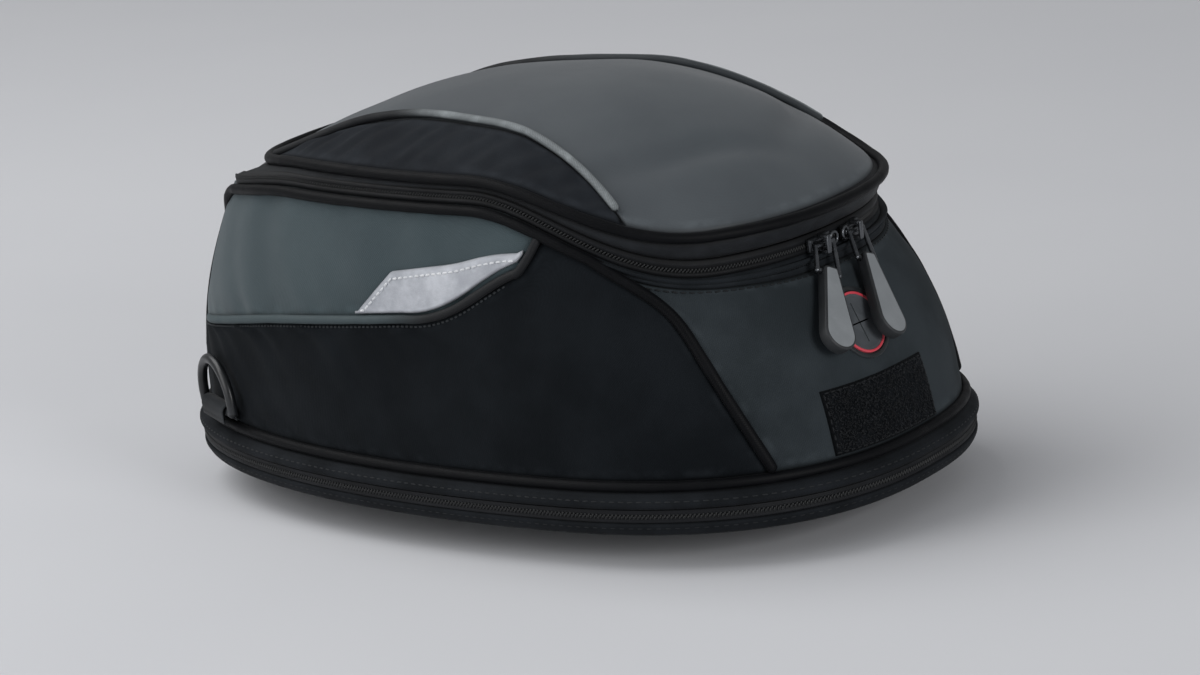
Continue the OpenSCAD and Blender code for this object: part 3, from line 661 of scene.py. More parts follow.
class Finish(Enum):
    """Every finish of the bag."""

    # hem sets how strongly a cloth's rolled edges are darkened with painted shade.
    SHELL = Cloth("shell_cloth", "#171b1f", "#0a0d10", mottle=34)
    REAR = Cloth("rear_cloth", "#353b3f", "#212629", mottle=30)
    FACING = Cloth("facing_cloth", "#272b2f", "#171a1d", mottle=30, hem=0.3)
    YOKE = Cloth("yoke_cloth", "#3d4b4f", "#2e3a3f", pitch=1.0, depth=0.12, sheen=0.2, gloss=0.3, mottle=40,
                 blotch=0.3, hem=0.2)
    LID = Cloth("lid_cloth", "#4d5357", "#3d4247", pitch=0.7, depth=0.05, rough=0.62, sheen=0.1, gloss=0.3,
                mottle=55, blotch=0.35, coat=0.08, hem=0.6)
    INSET = Cloth("inset_cloth", "#272b30", "#16181c", mottle=24)
    BAND = Cloth("band_cloth", "#1f2226", "#101214", pitch=1.1, ribbed=0.4, mottle=18)
    GUSSET = Cloth("gusset_cloth", "#1b1e22", "#0f1114", pitch=0.8, rough=0.6, gloss=0.2, hem=0.9)
    TAPE = Cloth("zip_tape_cloth", "#15171b", "#090a0c", pitch=0.8, depth=0.14, rough=0.6, gloss=0.2,
                 ribbed=0.6, hem=0.6)
    WEBBING = Cloth("webbing_cloth", "#2b2e31", "#131517", pitch=1.3, ribbed=0.75, depth=0.25, sheen=0.1)
    LINING = Cloth("lining_cloth", "#3d4144", "#24272a", pitch=0.6, depth=0.06, rough=0.7)
    PATCH = Reflective("reflective_film", "#bcbfc5", "#94979e")
    DARK_CORD = CordCover("dark_piping_cover", "#08090c", "#030406", rough=0.5, gloss=0.1)
    # A dark cord painted pale along its top as a highlight, with painted shade underneath; towards the front,
    # where no highlight is painted, it turns near black.
    LIGHT_CORD = CordCover("painted_highlight_piping_cover", "#8e9496", "#33373a", other="#131518", turn=(92, 122),
                           underside_shade_r=1.6)
    POCKET_CORD = CordCover("pocket_piping_cover", "#17191c", "#0a0b0d", other="#3f4a4d", turn=(56, 88))
    HOOK = Cloth("hook_tape", "#14171b", "#06080a", pitch=1.6, depth=0.3, hem=0.4)
    LOOPS = Moulded("hook_loops", "#0f1114", "#34383d", grain=0.3, rough=0.6, wear=0.2)
    SEAM_THREAD = CordCover("seam_thread", "#33373a", "#1c1f22", pitch=0.5)
    THREAD = CordCover("dark_thread", "#1f2225", "#0f1113", pitch=0.5)
    PALE_THREAD = CordCover("pale_thread", "#e6e8ea", "#b9bcc0", pitch=0.5)
    COIL = Moulded("zip_coil", "#090a0b", "#1a1c1e", grain=0.4, rough=0.6, wear=0.25)
    GUNMETAL = Moulded("slider_metal", "#2a2c2f", "#74777b", grain=0.7, rough=0.3, metal=0.85, wear=0.6)
    BAIL = Moulded("bail_metal", "#3c3f43", "#8f9296", grain=0.9, depth=0.008, rough=0.28, metal=0.9)
    STEEL = Moulded("wire_steel", "#8b8e92", "#c4c7cb", grain=0.6, depth=0.015, rough=0.3, metal=0.95)
    GRIP = Moulded("grip_rubber", "#17191b", "#34373a", grain=0.45, depth=0.05, rough=0.55, wear=0.4)
    GRIP_FACE = Moulded("grip_face", "#777b7e", "#909497", grain=0.35, depth=0.035, rough=0.55, wear=0.3)
    RING = Moulded("ring_black", "#0b0c0e", "#2c2f32", grain=0.5, depth=0.015, rough=0.38, coat=0.1, wear=0.5)
    BOARD = Moulded("base_board_skin", "#17181a", "#2e3033", grain=0.8, depth=0.08, rough=0.6)
    ADAPTER = Moulded("adapter_plastic", "#202225", "#3d4043", grain=0.6, depth=0.05, rough=0.48)
    PLATE = Moulded("plate_metal", "#5b5e61", "#878a8e", grain=0.5, rough=0.4, metal=0.8)
    LATCH = Moulded("latch_red", "#a82a22", "#cf5a50", grain=0.6, rough=0.42)
    PORT = Moulded("port_rubber", "#121416", "#3d4144", grain=0.4, depth=0.03, rough=0.45, wear=0.6)
    MEMBRANE = Moulded("port_membrane_skin", "#3c4044", "#595d61", grain=0.5, depth=0.05, rough=0.6)
    PORT_RED = Moulded("port_red_ring", "#c8303f", "#e3707c", grain=0.4, depth=0.02, rough=0.38, coat=0.2)

    def material(self) -> bpy.types.Material:
        """The finish's material, made on first use."""
        found = bpy.data.materials.get(f"finish_{self.value.name}")
        return found or self.value.make()


def dress(obj: Piece, finish: Finish, body: str | None, slot: str, *nodes: str,
          fill: float | None = None) -> Piece:
    """Gives a piece its finish, its body and what it stands for.

    Args:
        obj: The piece.
        finish: Its finish.
        body: Body that it moves with, or None to leave it unattached.
        slot: Material slot of the record; not used.
        nodes: CAD nodes that it replaces.
        fill: How tightly a padded piece is filled; not used.

    Returns:
        The piece.
    """
    if not obj.data.materials:
        obj.data.materials.append(finish.material())
    if body:
        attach(obj, body)
    if nodes:
        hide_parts(*nodes)
    log.info("%s: %d faces on %s", obj.name, len(obj.data.polygons), body or "two bodies")
    return obj


def redress(node: str, finish: Finish) -> None:
    """Gives a CAD solid that stays in view its finish.

    Args:
        node: Name of the CAD node.
        finish: Its finish.
    """
    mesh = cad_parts[node].data
    mesh.materials.clear()
    mesh.materials.append(finish.material())
    log.info("%s: dressed", node)


def add_mesh(name: str, points: Array, faces: Faces, maps: Array | None = None,
             rim: Array | None = None) -> Piece:
    """Makes a piece from points in mm.

    Args:
        name: Name of the piece.
        points: Points in mm.
        faces: Corner numbers of each face.
        maps: Lengths along and across the cloth at each point, in mm.
        rim: Distance of each point from the panel's edge, in mm.

    Returns:
        The piece, smooth shaded.
    """
    mesh = bpy.data.meshes.new(name)
    mesh.from_pydata((np.asarray(points) * MM).tolist(), [], faces)
    mesh.polygons.foreach_set("use_smooth", [True] * len(mesh.polygons))
    corners = np.empty(len(mesh.loops), dtype=np.int32)
    mesh.loops.foreach_get("vertex_index", corners)
    layer = mesh.uv_layers.new(name="Weave")
    flat = np.zeros((len(points), 2)) if maps is None else np.asarray(maps) * MM
    layer.data.foreach_set("uv", flat[corners].astype(np.float32).ravel())
    depth = mesh.attributes.new("rim", "FLOAT", "POINT")
    far = np.full(len(points), FAR_RIM)
    depth.data.foreach_set("value", far if rim is None else np.minimum(rim, far))
    mesh.update()
    obj = bpy.data.objects.new(name, mesh)
    bpy.context.collection.objects.link(obj)
    return obj


@dataclass(frozen=True)
class Surface:
    """A panel's grid: lengths along and across it, distances to its edge, and points, all in mm."""

    u: Array
    v: Array
    rim: Array
    points: Array


@dataclass
class Panel:
    """A padded cloth panel over a grid of points, with rolled edges and a surface relief."""

    name: str
    grid: Array
    thick: float = 2.6
    roll: float = 1.3
    roll_w: float = 3.6
    rolled: tuple[bool, bool, bool, bool] = (True, True, True, True)
    ring: bool = False
    pole: bool = False
    plan_map: bool = False
    relief: Callable[[Surface], Array] | None = None
    middle: Array = field(default_factory=lambda: MIDDLE)

    def lengths(self) -> tuple[Array, Array]:
        """Lengths along the columns and the rows of the grid."""
        u = np.zeros(self.grid.shape[:2])
        v = np.zeros_like(u)
        u[1:] = np.cumsum(np.linalg.norm(np.diff(self.grid, axis=0), axis=-1), axis=0)
        v[:, 1:] = np.cumsum(np.linalg.norm(np.diff(self.grid, axis=1), axis=-1), axis=1)
        return u, v

    def normals(self) -> tuple[Array, bool]:
        """Outward directions, and whether the grid runs the other way round."""
        g = self.grid
        du = np.roll(g, -1, 0) - np.roll(g, 1, 0) if self.ring else np.gradient(g, axis=0)
        way = np.cross(du, np.gradient(g, axis=1))
        weak = np.linalg.norm(way, axis=-1) < 1e-7
        way[weak] = way[~weak].mean(axis=0)
        way = unit(way)
        turned = float(np.sum(way * (g - self.middle))) < 0
        return (-way if turned else way), turned

    def build(self) -> Piece:
        """Makes the closed panel."""
        g, (n, m) = self.grid, self.grid.shape[:2]
        u, v = self.lengths()
        ends = [u - u[:1], u[-1:] - u, v - v[:, :1], v[:, -1:] - v]
        sewn = [k for k in range(4) if not (self.ring and k < 2 or self.pole and k == 2)]
        rim = np.minimum.reduce([ends[k] for k in sewn])
        flat = np.full_like(rim, np.inf)
        near = np.minimum.reduce([ends[k] if self.rolled[k] else flat for k in sewn])
        way, back = self.normals()
        share = np.clip(1 - near / self.roll_w, 0, 1)
        lift = -self.roll * (1 - np.sqrt(np.clip(1 - share ** 2, 0, 1)))
        if self.relief:
            lift = lift + self.relief(Surface(u, v, rim, g)) * smooth(0.0, 3.0, rim)
        outer = g + lift[..., None] * way
        inner = g - self.thick * way
        points = np.concatenate([outer.reshape(-1, 3), inner.reshape(-1, 3)])
        maps = np.stack([g[..., 0], g[..., 1]] if self.plan_map else [u, v], -1).reshape(-1, 2)
        faces = self.faces(n, m)
        if back:
            faces = [f[::-1] for f in faces]
        return add_mesh(self.name, points, faces, np.tile(maps, (2, 1)), np.tile(rim.ravel(), 2))

    def faces(self, n: int, m: int) -> Faces:
        """Faces of both skins and of the edges between them.

        Args:
            n: Columns of the grid.
            m: Rows of the grid.

        Returns:
            Corner numbers, with the inner skin's after the outer skin's.
        """
        far = n * m
        made: Faces = []
        for i in range(n if self.ring else n - 1):
            k = (i + 1) % n
            for j in range(m - 1):
                a, b, c, d = i * m + j, k * m + j, k * m + j + 1, i * m + j + 1
                made += [(a, b, c, d), (far + a, far + d, far + c, far + b)]
            low_a, low_b, top_a, top_b = i * m, k * m, i * m + m - 1, k * m + m - 1
            made += [(low_b, low_a, far + low_a, far + low_b), (top_a, top_b, far + top_b, far + top_a)]
        if not self.ring:
            for j in range(m - 1):
                a, b, c, d = j, j + 1, (n - 1) * m + j, (n - 1) * m + j + 1
                made += [(a, b, far + b, far + a), (d, c, far + c, far + d)]
        return made


def tube_faces(n: int, k: int, loop: bool = False) -> Faces:
    """Faces between n cross-sections of k points, of which the last may join the first."""
    return [(i * k + j, i * k + (j + 1) % k, (i + 1) % n * k + (j + 1) % k, (i + 1) % n * k + j)
            for i in range(n if loop else n - 1) for j in range(k)]


def loft(name: str, rings: Array, loop: bool, tips: tuple | None = None) -> Piece:
    """Closed skin over a row of cross-sections.

    Args:
        name: Name of the piece.
        rings: Cross-sections, each a row of points in mm.
        loop: Whether the last one joins the first.
        tips: End points that close an open row.

    Returns:
        The piece with outward faces.
    """
    n, k = rings.shape[:2]
    points = rings.reshape(-1, 3)
    maps = np.stack(np.meshgrid(travel(rings.mean(axis=1)), travel(rings[n // 2]), indexing="ij"), -1)
    maps = maps.reshape(-1, 2)
    faces = tube_faces(n, k, loop)
    if tips is not None:
        points = np.concatenate([points, np.array(tips)])
        maps = np.concatenate([maps, maps[[0, -1]]])
        faces += [(n * k, (j + 1) % k, j) for j in range(k)]
        faces += [(n * k + 1, (n - 1) * k + j, (n - 1) * k + (j + 1) % k) for j in range(k)]
    a, b, c = (points[[f[i] for f in faces]] - points.mean(0) for i in range(3))
    if float(np.sum(np.cross(a, b) * c)) < 0:
        faces = [f[::-1] for f in faces]
    return add_mesh(name, points, faces, maps)


def cord(name: str, path: Array, outs: Array, radius: float, loop: bool = False, sides: int = 14,
         seed: int = 1) -> Piece:
    """Sewn piping along a path, slightly uneven, with rounded ends.

    Args:
        name: Name of the piece.
        path: Points in mm.
        outs: Outward direction at each point.
        radius: Radius in mm.
        loop: Whether it closes on itself.
        sides: Points around the cord.
        seed: Start of the random draws.

    Returns:
        The piece.
    """
    ahead = np.roll(path, -1, 0) - np.roll(path, 1, 0) if loop else np.gradient(path, axis=0)
    ahead = unit(ahead)
    side = unit(outs - np.sum(outs * ahead, -1, keepdims=True) * ahead)
    up = np.cross(ahead, side)
    lengths = travel(path)
    wave = radius * (1 + 0.035 * gathers(lengths, 17.0, seed))
    if loop:
        fade = smooth(0, 30, lengths) * smooth(lengths[-1], lengths[-1] - 30, lengths)
        wave = radius + (wave - radius) * fade
    turn = 2 * np.pi * np.arange(sides) / sides + np.pi

    def ring(spot: Array, r: float, i: int) -> Array:
        """One cross-section."""
        return spot + r * (np.cos(turn)[:, None] * side[i] + np.sin(turn)[:, None] * up[i])

    rings = [ring(path[i], wave[i], i) for i in range(len(path))]
    if loop:
        return loft(name, np.array(rings), True)
    caps = (0.35, 0.65, 0.88)
    first = [ring(path[0] - ahead[0] * radius * c, wave[0] * math.sqrt(1 - c * c), 0) for c in caps[::-1]]
    last = [ring(path[-1] + ahead[-1] * radius * c, wave[-1] * math.sqrt(1 - c * c), -1) for c in caps]
    tips = (path[0] - ahead[0] * radius, path[-1] + ahead[-1] * radius)
    return loft(name, np.array(first + rings + last), False, tips)


def hoop(name: str, outline: Outline, section: Section, steps: int = 220, fine: int = 6) -> Piece:
    """Closed band round an outline, with a rounded cross-section.

    Args:
        name: Name of the piece.
        outline: Plan outline.
        section: Corners as outward distances and heights in mm.
        steps: Steps round the outline.
        fine: Steps between two corners.

    Returns:
        The piece.
    """
    p = np.array(section)
    q = []
    for i in range(len(p)):
        a, b, c, d = (p[(i + k) % len(p)] for k in (-1, 0, 1, 2))
        for w in np.arange(fine) / fine:
            q.append(0.5 * (2 * b + (c - a) * w + (2 * a - 5 * b + 4 * c - d) * w * w
                            + (3 * b - a - 3 * c + d) * w ** 3))
    q = np.array(q)
    t = 360 * np.arange(steps) / steps
    return loft(name, raised(outline.at(t[:, None], q[None, :, 0]), q[:, 1]), True)


def capsule(length: float, radius: float, sides: int = 6) -> Shape:
    """A small rounded rod along x with few faces.

    Args:
        length: Length in mm.
        radius: Radius in mm.
        sides: Sides round the rod.

    Returns:
        Points and faces.
    """
    stops = [(-0.5, 0.45), (-0.3, 1.0), (0.3, 1.0), (0.5, 0.45)]
    turn = 2 * np.pi * np.arange(sides) / sides
    points = [(x * length, r * radius * math.cos(a), r * radius * math.sin(a))
              for x, r in stops for a in turn]
    faces = tube_faces(len(stops), sides)
    faces += [tuple(range(sides - 1, -1, -1)), tuple(range(3 * sides, 4 * sides))]
    return np.array(points), faces


def scatter(name: str, shape: Shape, spots: Array, xs: Array, zs: Array,
            scales: Array | None = None) -> Piece:
    """Copies one small shape to many places as one piece.

    Args:
        name: Name of the piece.
        shape: Points and faces of the shape.
        spots: Places in mm.
        xs: Direction of the shape's x at each place.
        zs: Direction of its z.
        scales: Size of each copy.

    Returns:
        The piece.
    """
    base, faces = shape
    xs = unit(xs)
    zs = unit(zs - np.sum(zs * xs, -1, keepdims=True) * xs)
    ys = np.cross(zs, xs)
    size = np.ones(len(spots)) if scales is None else scales
    turned = (base[None, :, 0, None] * xs[:, None] + base[None, :, 1, None] * ys[:, None]
              + base[None, :, 2, None] * zs[:, None])
    points = (spots[:, None] + turned * size[:, None, None]).reshape(-1, 3)
    count = len(base)
    every = [tuple(c + k * count for c in f) for k in range(len(spots)) for f in faces]
    maps = np.tile(base[:, :2], (len(spots), 1))
    return add_mesh(name, points, every, maps)


def along(path: Array, outs: Array, gap: float, loop: bool = False) -> tuple[Array, ...]:
    """Even places along a path.

    Args:
        path: Points in mm.
        outs: Outward direction at each point.
        gap: Distance between two places in mm.
        loop: Whether the path closes on itself.

    Returns:
        Points, directions ahead and outward directions.
    """
    if loop:
        path, outs = np.concatenate([path, path[:1]]), np.concatenate([outs, outs[:1]])
    lengths = travel(path)
    count = max(2, int(lengths[-1] / gap))
    marks = (np.arange(count) + 0.5) * lengths[-1] / count
    step = 0.3

    def at(rows: Array, where: Array) -> Array:
        """Rows at given lengths along the path."""
        return np.stack([np.interp(where, lengths, rows[:, k]) for k in range(3)], -1)

    return at(path, marks), unit(at(path, marks + step) - at(path, marks - step)), unit(at(outs, marks))


def stitches(name: str, path: Array, outs: Array, loop: bool = False, length: float = 2.2,
             gap: float = 3.2, radius: float = 0.34, sunk: float = 0.05) -> Piece:
    """Row of thread stitches along a path on the cloth.

    Args:
        name: Name of the piece.
        path: Points of the seam in mm.
        outs: Outward directions.
        loop: Whether the row closes on itself.
        length: Length of a stitch.
        gap: Distance from one stitch to the next.
        radius: Radius of the thread.
        sunk: How far the thread's middle lies under the path.

    Returns:
        The piece.
    """
    spots, ahead, ways = along(path, outs, gap, loop)
    rng = np.random.default_rng(len(spots))
    lean = np.cross(ways, ahead) * rng.normal(0, 0.05, (len(spots), 1))
    return scatter(name, capsule(length, radius), spots - ways * sunk, ahead + lean, ways)


def deselect() -> None:
    """Leaves nothing selected."""
    bpy.ops.object.select_all(action="DESELECT")


def active() -> Piece:
    """The piece that is being modelled."""
    return bpy.context.view_layer.objects.active


def grab(obj: Piece) -> None:
    """Selects one piece alone and makes it the active one.

    Args:
        obj: The piece.
    """
    deselect()
    obj.select_set(True)
    bpy.context.view_layer.objects.active = obj


def edit() -> None:
    """Enters edit mode."""
    bpy.ops.object.mode_set(mode="EDIT")


def leave() -> None:
    """Goes back to object mode."""
    bpy.ops.object.mode_set(mode="OBJECT")


def face_out() -> None:
    """Turns all faces outwards, in edit mode."""
    bpy.ops.mesh.select_all(action="SELECT")
    bpy.ops.mesh.normals_make_consistent(inside=False)


def pick_open_edges() -> None:
    """Selects the edges round openings, in edit mode."""
    bpy.ops.mesh.select_all(action="DESELECT")
    bpy.ops.mesh.select_mode(type="EDGE")
    bpy.ops.mesh.select_non_manifold()


def extrude_up(height: float) -> None:
    """Extrudes the selected faces along z, in edit mode."""
    bpy.ops.mesh.extrude_region_move(TRANSFORM_OT_translate={"value": (0, 0, height)})


def pick(obj: Piece, test: FaceTest = lambda f: True) -> None:
    """Selects the faces that pass a test, and enters edit mode.

    Args:
        obj: The piece.
        test: Test of a face.
    """
    if obj.mode != "EDIT":
        edit()
    bpy.ops.mesh.select_mode(type="FACE")
    bpy.ops.mesh.select_all(action="DESELECT")
    leave()
    for face in obj.data.polygons:
        face.select = bool(test(face))
    edit()


def press(obj: Piece, test: FaceTest, border: float, move: Place) -> None:
    """Insets the faces that pass a test and moves them.

    Args:
        obj: The piece.
        test: Test of a face.
        border: Width of the inset in mm.
        move: Move of the inset faces in mm.
    """
    pick(obj, test)
    bpy.ops.mesh.inset(thickness=border)
    bpy.ops.transform.translate(value=move)
    leave()


def settle(obj: Piece, name: str, place: Matrix, angle: float = 40.0) -> Piece:
    """Ends the modelling of a rigid piece: place into its mesh, faces outwards, smooth shading.

    Args:
        obj: The piece, modelled in mm at the origin.
        name: Its name.
        place: Its frame in mm.
        angle: Largest angle in degrees that still shades smoothly.

    Returns:
        The piece in metres.
    """
    edit()
    bpy.ops.mesh.select_all(action="SELECT")
    bpy.ops.mesh.remove_doubles(threshold=0.0005)
    face_out()
    leave()
    bpy.ops.object.transform_apply(location=True, rotation=True, scale=True)
    bpy.ops.object.shade_smooth_by_angle(angle=math.radians(angle))
    obj.name = obj.data.name = name
    obj.data.transform(Matrix.Scale(MM, 4) @ place)
    obj.data.update()
    deselect()
    return obj


def disc(radius: float, sides: int) -> Piece:
    """A flat disc round z in mm, as a start."""
    deselect()
    bpy.ops.mesh.primitive_circle_add(vertices=sides, radius=radius, fill_type="NGON")
    return active()


def block(size: Place, middle: Place, bevel: float, steps: int = 3) -> Piece:
    """A bevelled block in mm, left in object mode.

    Args:
        size: Lengths along x, y and z.
        middle: Middle of the block.
        bevel: Width of the bevel.
        steps: Segments of the bevel.

    Returns:
        The block.
    """
    deselect()
    bpy.ops.mesh.primitive_cube_add(size=1, location=middle)
    obj = active()
    obj.scale = size
    bpy.ops.object.transform_apply(location=True, rotation=True, scale=True)
    edit()
    bpy.ops.mesh.select_all(action="SELECT")
    bpy.ops.mesh.bevel(offset=bevel, segments=steps, affect="EDGES")
    leave()
    return obj


def rod(radius: float, length: float, middle: Place, turn: Place, bevel: float) -> Piece:
    """A round rod in mm with softened ends, left in object mode.

    Args:
        radius: Radius of the rod.
        length: Length along its own z.
        middle: Middle of the rod.
        turn: Angles round x, y and z in radians.
        bevel: Width of the bevel at its ends.

    Returns:
        The rod.
    """
    deselect()
    bpy.ops.mesh.primitive_cylinder_add(vertices=24, radius=radius, depth=length)
    obj = active()
    pick(obj, lambda f: abs(f.normal.z) > 0.9)
    bpy.ops.mesh.bevel(offset=bevel, segments=3, affect="EDGES")
    leave()
    obj.rotation_euler = turn
    obj.location = middle
    bpy.ops.object.transform_apply(location=True, rotation=True, scale=True)
    return obj


def join(pieces: Sequence[Piece]) -> Piece:
    """Joins modelled pieces into the first one.

    Args:
        pieces: The pieces.

    Returns:
        The first one.
    """
    deselect()
    for piece in pieces:
        piece.select_set(True)
    bpy.context.view_layer.objects.active = pieces[0]
    bpy.ops.object.join()
    return pieces[0]


def cut(obj: Piece, tool: Piece) -> None:
    """Cuts one piece out of another and removes the cutter.

    Args:
        obj: The piece, active afterwards.
        tool: The cutter.
    """
    grab(obj)
    mod = obj.modifiers.new("cut", "BOOLEAN")
    mod.operation, mod.solver, mod.object = "DIFFERENCE", "EXACT", tool
    bpy.ops.object.modifier_apply(modifier=mod.name)
    bpy.data.objects.remove(tool, do_unlink=True)


def flat_ring(outer: float, inner: float, height: float, bevel: float) -> Piece:
    """A flat ring round z, from z 0 up, modelled from a disc by inset and extrusion.

    Args:
        outer: Outer radius in mm.
        inner: Inner radius in mm.
        height: Height in mm.
        bevel: Width of the edge bevel.

    Returns:
        The ring, in object mode.
    """
    obj = disc(outer, 72)
    pick(obj)
    bpy.ops.mesh.inset(thickness=outer - inner)
    bpy.ops.mesh.delete(type="FACE")
    pick(obj)
    extrude_up(height)
    leave()
    pick(obj, lambda f: f.normal.z > 0.9 and f.center.z > height / 2)
    bpy.ops.mesh.bevel(offset=bevel, segments=3, affect="EDGES")
    leave()
    return obj


def rim_stitches(name: str, off: float, z: float, lean: float, body: str) -> None:
    """One row of stitches round the rim.

    Args:
        name: Name of the row.
        off: Distance outwards from the rim in mm.
        z: Height in mm.
        lean: Upward share of the outward direction.
        body: Body that it moves with.
    """
    path, outs = FORM.rim.line(turns(RIM_STEPS), off, z, lean)
    dress(stitches(name, path, outs, True, 2.3, 3.4), Finish.THREAD, body, "rim_cloth")


def zip_tape(welt: str, teeth: str, low: float, top: float, way: int, body: str, node: str) -> None:
    """One tape of the main zip: a rounded welt along the slot, and its row of teeth.

    Args:
        welt: Name of the tape.
        teeth: Name of the teeth.
        low: Lower edge over the zip line in mm.
        top: Upper edge over the zip line in mm; the tape over the slot adds the form's knee.
        way: -1 for the tape under the slot, 1 for the one over it.
        body: Body that they move with.
        node: CAD node that the tape replaces.
    """
    t = np.linspace(-TAPE_END, TAPE_END, 300)
    x = FORM.zip_line.at(t)[:, 0]
    v = np.linspace(0, 1, 13)
    over = way > 0
    high = top + over * FORM.knee(x)
    bulge = 0.75 * np.sin(np.pi * v) ** 0.7
    fade = smooth(TAPE_END, TAPE_END - 7, np.abs(t))[:, None]
    off = (bulge - 0.35) * fade - over * FORM.lean(x)[:, None] * v
    rise = low + (high - low)[:, None] * v
    grid = raised(FORM.zip_line.at(t[:, None], off), FORM.zip_z(x)[:, None] + rise)
    dress(Panel(welt, grid, 1.5, 0.0).build(), Finish.TAPE, body, "zip_tape", node)
    path, outs = FORM.zip_line.line(t, -0.25, FORM.zip_z(x) + way * 0.32)
    spots, ahead, ways = along(path, outs, 1.3)
    spots = spots + ahead * (0.33 * way)
    up = np.cross(ways, ahead) + ahead * 0.4
    dress(scatter(teeth, capsule(1.25, TOOTH_R, 5), spots, up, ways), Finish.COIL, body, "zip_tape")


@dataclass
class Base:
    """Stiff base: rim band, expansion zip and gusset, latch strap and the dressed ring mount."""

    zip_low: float = 17.8
    zip_top: float = 22.4
    tape_h: float = 1.95
    tape_t: float = 1.5
    tape_in: float = 0.6
    tooth_gap: float = 1.5
    gusset_in: float = 2.75
    strap_from: float = 65.5
    strap_l: float = 69.4
    strap_w: float = 12.0
    strap_z: float = 7.3
    slider_at: float = 125.0
    slider_z: float = 20.1
    pin_out: float = 2.9
    wire_r: float = 0.85
    rim_section: Section = ((-6.9, 12.5), (-4.2, 12.3), (-1.9, 13.3), (-0.6, 15.0), (-0.05, 16.6),
                            (-0.5, 17.5), (-2.8, 17.5), (-4.4, 15.4), (-6.4, 13.6))

    def build(self) -> None:
        """Builds and dresses the base."""
        self.rim()
        self.zip_half("low", self.zip_low, self.zip_low + self.tape_h, -1, "base", "grow_zip_lower")
        self.zip_half("high", self.zip_top - self.tape_h, self.zip_top, 1, "shell", "grow_zip_upper")
        self.gusset()
        self.latch_strap()
        self.slider()
        self.mount()

    def rim(self) -> None:
        """Rim band that binds the board, with its row of stitches."""
        band = hoop("rim_band_cloth", FORM.rim, self.rim_section)
        dress(band, Finish.BAND, "base", "rim_cloth", "base_rim")
        rim_stitches("rim_stitching", -0.42, 15.9, -0.25, "base")

    def zip_half(self, word: str, low: float, top: float, way: int, body: str, node: str) -> None:
        """One tape of the expansion zip with its teeth.

        Args:
            word: End of both names.
            low: Lower edge in mm.
            top: Upper edge in mm.
            way: -1 for the lower tape, 1 for the upper one.
            body: Body that they move with.
            node: CAD node that the tape replaces.
        """
        out, deep = -self.tape_in, -self.tape_in - self.tape_t
        section = [(out, low + 0.1), (out + 0.08, (low + top) / 2), (out, top - 0.1), (out - 0.5, top),
                   (deep, top - 0.1), (deep, low + 0.1), (out - 0.5, low)]
        dress(hoop(f"grow_tape_{word}", FORM.rim, section, 200, 4), Finish.TAPE, body, "zip_tape", node)
        inner = top if way < 0 else low
        path, outs = FORM.rim.line(turns(720), out + 0.1, inner - way * 0.05)
        spots, ahead, ways = along(path, outs, self.tooth_gap, True)
        spots = spots + ahead * (0.25 * way * self.tooth_gap)
        up = np.array([0.0, 0.0, 1.0]) + ahead * 0.35
        teeth = scatter(f"grow_teeth_{word}", capsule(1.5, TOOTH_R, 5), spots, up, ways)
        dress(teeth, Finish.COIL, body, "zip_tape")

    def gusset(self) -> None:
        """Folded cloth behind the expansion zip, which draws out as the bag grows."""
        v = np.linspace(0, 1, 26)
        plan = FORM.rim.at(turns(200)[:, None], 0.25 * np.sin(v * np.pi * 6) - self.gusset_in)
        grid = raised(plan, self.zip_low + (self.zip_top - self.zip_low) * v)
        panel = Panel("grow_gusset_cloth", grid, 1.0, 0.0, ring=True)
        obj = dress(panel.build(), Finish.GUSSET, None, "rim_cloth", "grow_gusset")
        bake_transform(obj)

    def latch_strap(self) -> None:
        """Webbing strap that pulls the latch back, with a sewn end."""
        u, v = spread(26, 70.0), spread(6, self.strap_w, (0.0, 0.3, 0.7))
        long, wide = self.strap_from + self.strap_l * u, self.strap_w * v - self.strap_w / 2
        plan = np.stack(np.meshgrid(long, wide, indexing="ij"), -1)

        def ribs(on: Surface) -> Array:
            """Ribs of the webbing and its raised sewn end."""
            return 0.18 * smooth(52, 56, on.u) + 0.05 * np.sin(on.v * 4.2)

        panel = Panel("latch_strap_web", raised(plan, self.strap_z), 1.4, 0.25, 0.8, relief=ribs,
                      middle=np.array([100.0, 0.0, 40.0]))
        dress(panel.build(), Finish.WEBBING, "latch", "webbing", "latch_pull_tab")

    def slider(self) -> None:
        """Slider of the expansion zip and its pull tag."""
        way, spot = FORM.rim.out(self.slider_at), FORM.rim.at(self.slider_at, CLEAR)
        place = (Matrix.Translation((spot[0], spot[1], self.slider_z))
                 @ Matrix.Rotation(math.atan2(way[1], way[0]) - math.pi / 2, 4, "Z"))
        body = block((12, 1.6, 7.0), (0, 0.8, 0), 0.55)
        press(body, lambda f: f.normal.y > 0.9, 1.1, (0, 0.35, 0))
        posts = [block((3, 3.0, 1.3), (0, 3.0, z), 0.3) for z in (-2.8, 2.8)]
        bridge = block((3.0, 1.1, 6.9), (0, 4.8, 0), 0.4)
        cast = settle(join([body, *posts, bridge]), "grow_slider_body", place)
        dress(cast, Finish.GUNMETAL, "grow_runner", "slider_metal", "grow_slider")
        bar = rod(self.wire_r, 9.0, (0, 0, 0), (0, math.pi / 2, 0), 0.2)
        legs = [rod(self.wire_r, 6.8, (x, 0, -2.8), (0, 0, 0), 0.2) for x in (-4.5, 4.5)]
        tag = block((10.6, 1.7, 5.2), (0, 0, -7.4), 0.6)
        press(tag, lambda f: f.normal.y > 0.9, 0.9, (0, -0.25, 0))
        pin = place @ Matrix.Translation((0, self.pin_out, 0))
        pull = settle(join([bar, *legs, tag]), "grow_pull_tag", pin)
        dress(pull, Finish.GUNMETAL, "grow_tag", "slider_metal", "grow_pull")

